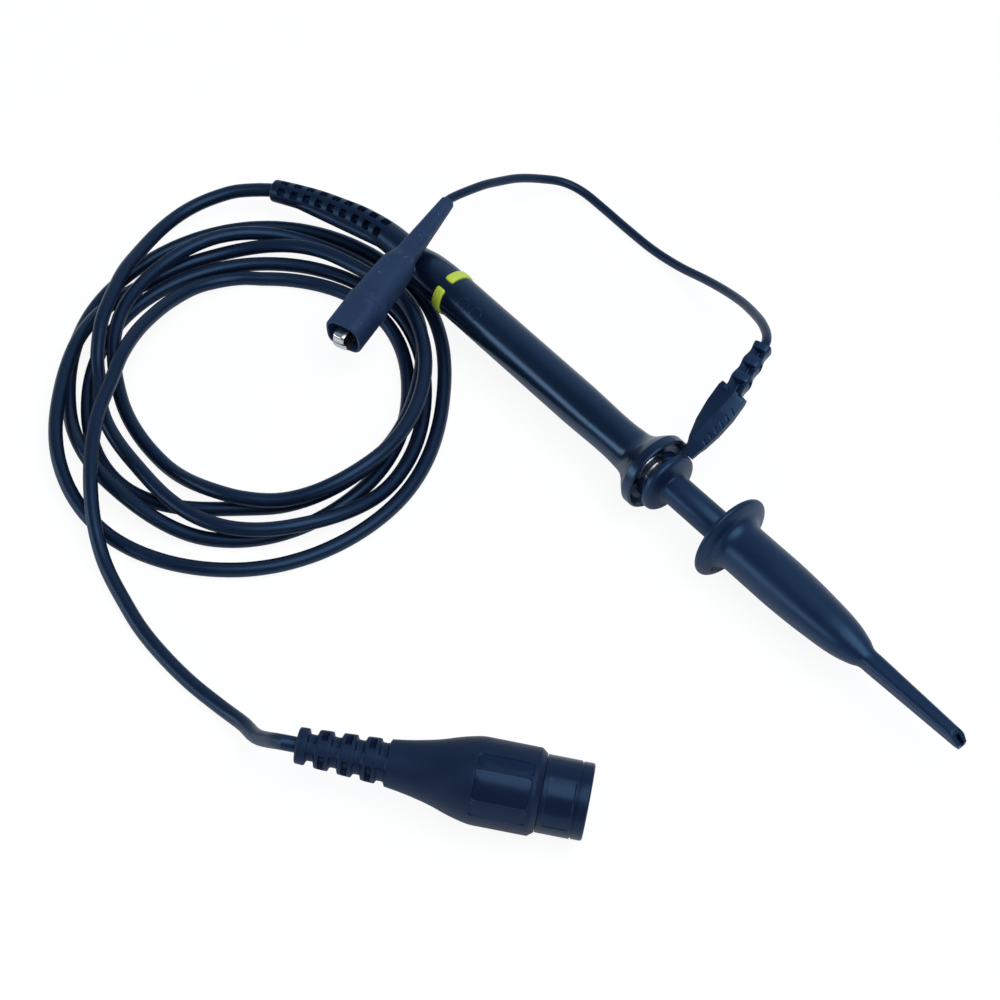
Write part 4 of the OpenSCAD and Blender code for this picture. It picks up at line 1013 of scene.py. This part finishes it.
leadThing = cordThing("groundLead", leadLine, groundLead["radius"], 20)
leadThing.data.materials.append(cableJacket.material)
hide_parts("ground_lead")
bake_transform(leadThing)
clipPieces = [clipBootThing, lowerJawThing, upperJawThing]
clipPieces += [frame["nodes"]["clip_pin"], frame["nodes"]["clip_spring"]]
print("cords made")

# stage and light
stage = dict(
    floor=3.0, floorColour=(0.97, 0.97, 0.97), backdrop=0.87, paper=1.04, sky=0.24, glow=0.48,
    glowWay=(-0.45, 0.86, 0.22), skyColour=(0.60, 0.80, 1.0),
    # name, power, direction, distance, width and height of each lamp
    lamps=(("topBox", 7.4, (0.42, 0.04, 0.90), 1.0, 0.95, 0.95),
           ("frontBox", 2.7, (-0.47, -0.84, 0.26), 0.95, 1.0, 0.30)),
)


def makeStage(s):
    half = s["floor"] / 2
    mesh = bpy.data.meshes.new("floor")
    corners = [(-half, -half, 0), (half, -half, 0), (half, half, 0), (-half, half, 0)]
    mesh.from_pydata(corners, [], [(0, 1, 2, 3)])
    floor = bpy.data.objects.new("floor", mesh)
    bpy.context.scene.collection.objects.link(floor)
    # the lens sees the paper brighter than it lights the object, and the shadow stays on it
    m = Nodes("floorPaper")
    m.shader.inputs["Base Color"].default_value = (*s["floorColour"], 1)
    m.shader.inputs["Roughness"].default_value = 0.9
    m.shader.inputs["Specular IOR Level"].default_value = 0.1
    seen = m.add("ShaderNodeLightPath").outputs["Is Camera Ray"]
    share = m.add("ShaderNodeMath", {0: seen, 1: s["backdrop"]}, operation="MULTIPLY").outputs["Value"]
    white = m.add("ShaderNodeEmission", {"Color": (1, 1, 1, 1), "Strength": s["paper"]}).outputs["Emission"]
    mix = m.add("ShaderNodeMixShader", {0: share, 1: m.shader.outputs["BSDF"], 2: white})
    m.tree.links.new(mix.outputs["Shader"], m.tree.nodes["Material Output"].inputs["Surface"])
    floor.data.materials.append(m.material)
    world = bpy.data.worlds.new("studio")
    world.use_nodes = True
    tree = world.node_tree
    sky = tree.nodes["Background"]
    sky.inputs["Color"].default_value = (*s["skyColour"], 1)
    # strength = sky + glow * smooth step of (direction . glowWay)
    facing = tree.nodes.new("ShaderNodeVectorMath")
    facing.operation = "DOT_PRODUCT"
    facing.inputs[1].default_value = Vector(s["glowWay"]).normalized()
    tree.links.new(tree.nodes.new("ShaderNodeTexCoord").outputs["Generated"], facing.inputs[0])
    glow = tree.nodes.new("ShaderNodeMapRange")
    glow.interpolation_type = "SMOOTHSTEP"
    glowRange = {"From Min": 0.15, "From Max": 1.0, "To Min": s["sky"], "To Max": s["sky"] + s["glow"]}
    for key, value in glowRange.items():
        glow.inputs[key].default_value = value
    tree.links.new(facing.outputs["Value"], glow.inputs["Value"])
    tree.links.new(glow.outputs["Result"], sky.inputs["Strength"])
    plain = tree.nodes.new("ShaderNodeBackground")
    rays, choose = tree.nodes.new("ShaderNodeLightPath"), tree.nodes.new("ShaderNodeMixShader")
    tree.links.new(rays.outputs["Is Camera Ray"], choose.inputs[0])
    tree.links.new(sky.outputs["Background"], choose.inputs[1])
    tree.links.new(plain.outputs["Background"], choose.inputs[2])
    tree.links.new(choose.outputs["Shader"], tree.nodes["World Output"].inputs["Surface"])
    plain.inputs["Color"].default_value = (1, 1, 1, 1)
    bpy.context.scene.world = world
    for name, power, way, far, wide, high in s["lamps"]:
        data = bpy.data.lights.new(name, "AREA")
        data.shape, data.size, data.size_y, data.energy = "RECTANGLE", wide, high, power
        lamp = bpy.data.objects.new(name, data)
        bpy.context.scene.collection.objects.link(lamp)
        lamp.location = Vector(way).normalized() * far
        lamp.rotation_euler = (-Vector(way)).to_track_quat("-Z", "Y").to_euler()


makeStage(stage)
bpy.context.scene.view_settings.view_transform = "Standard"
print("stage lit")
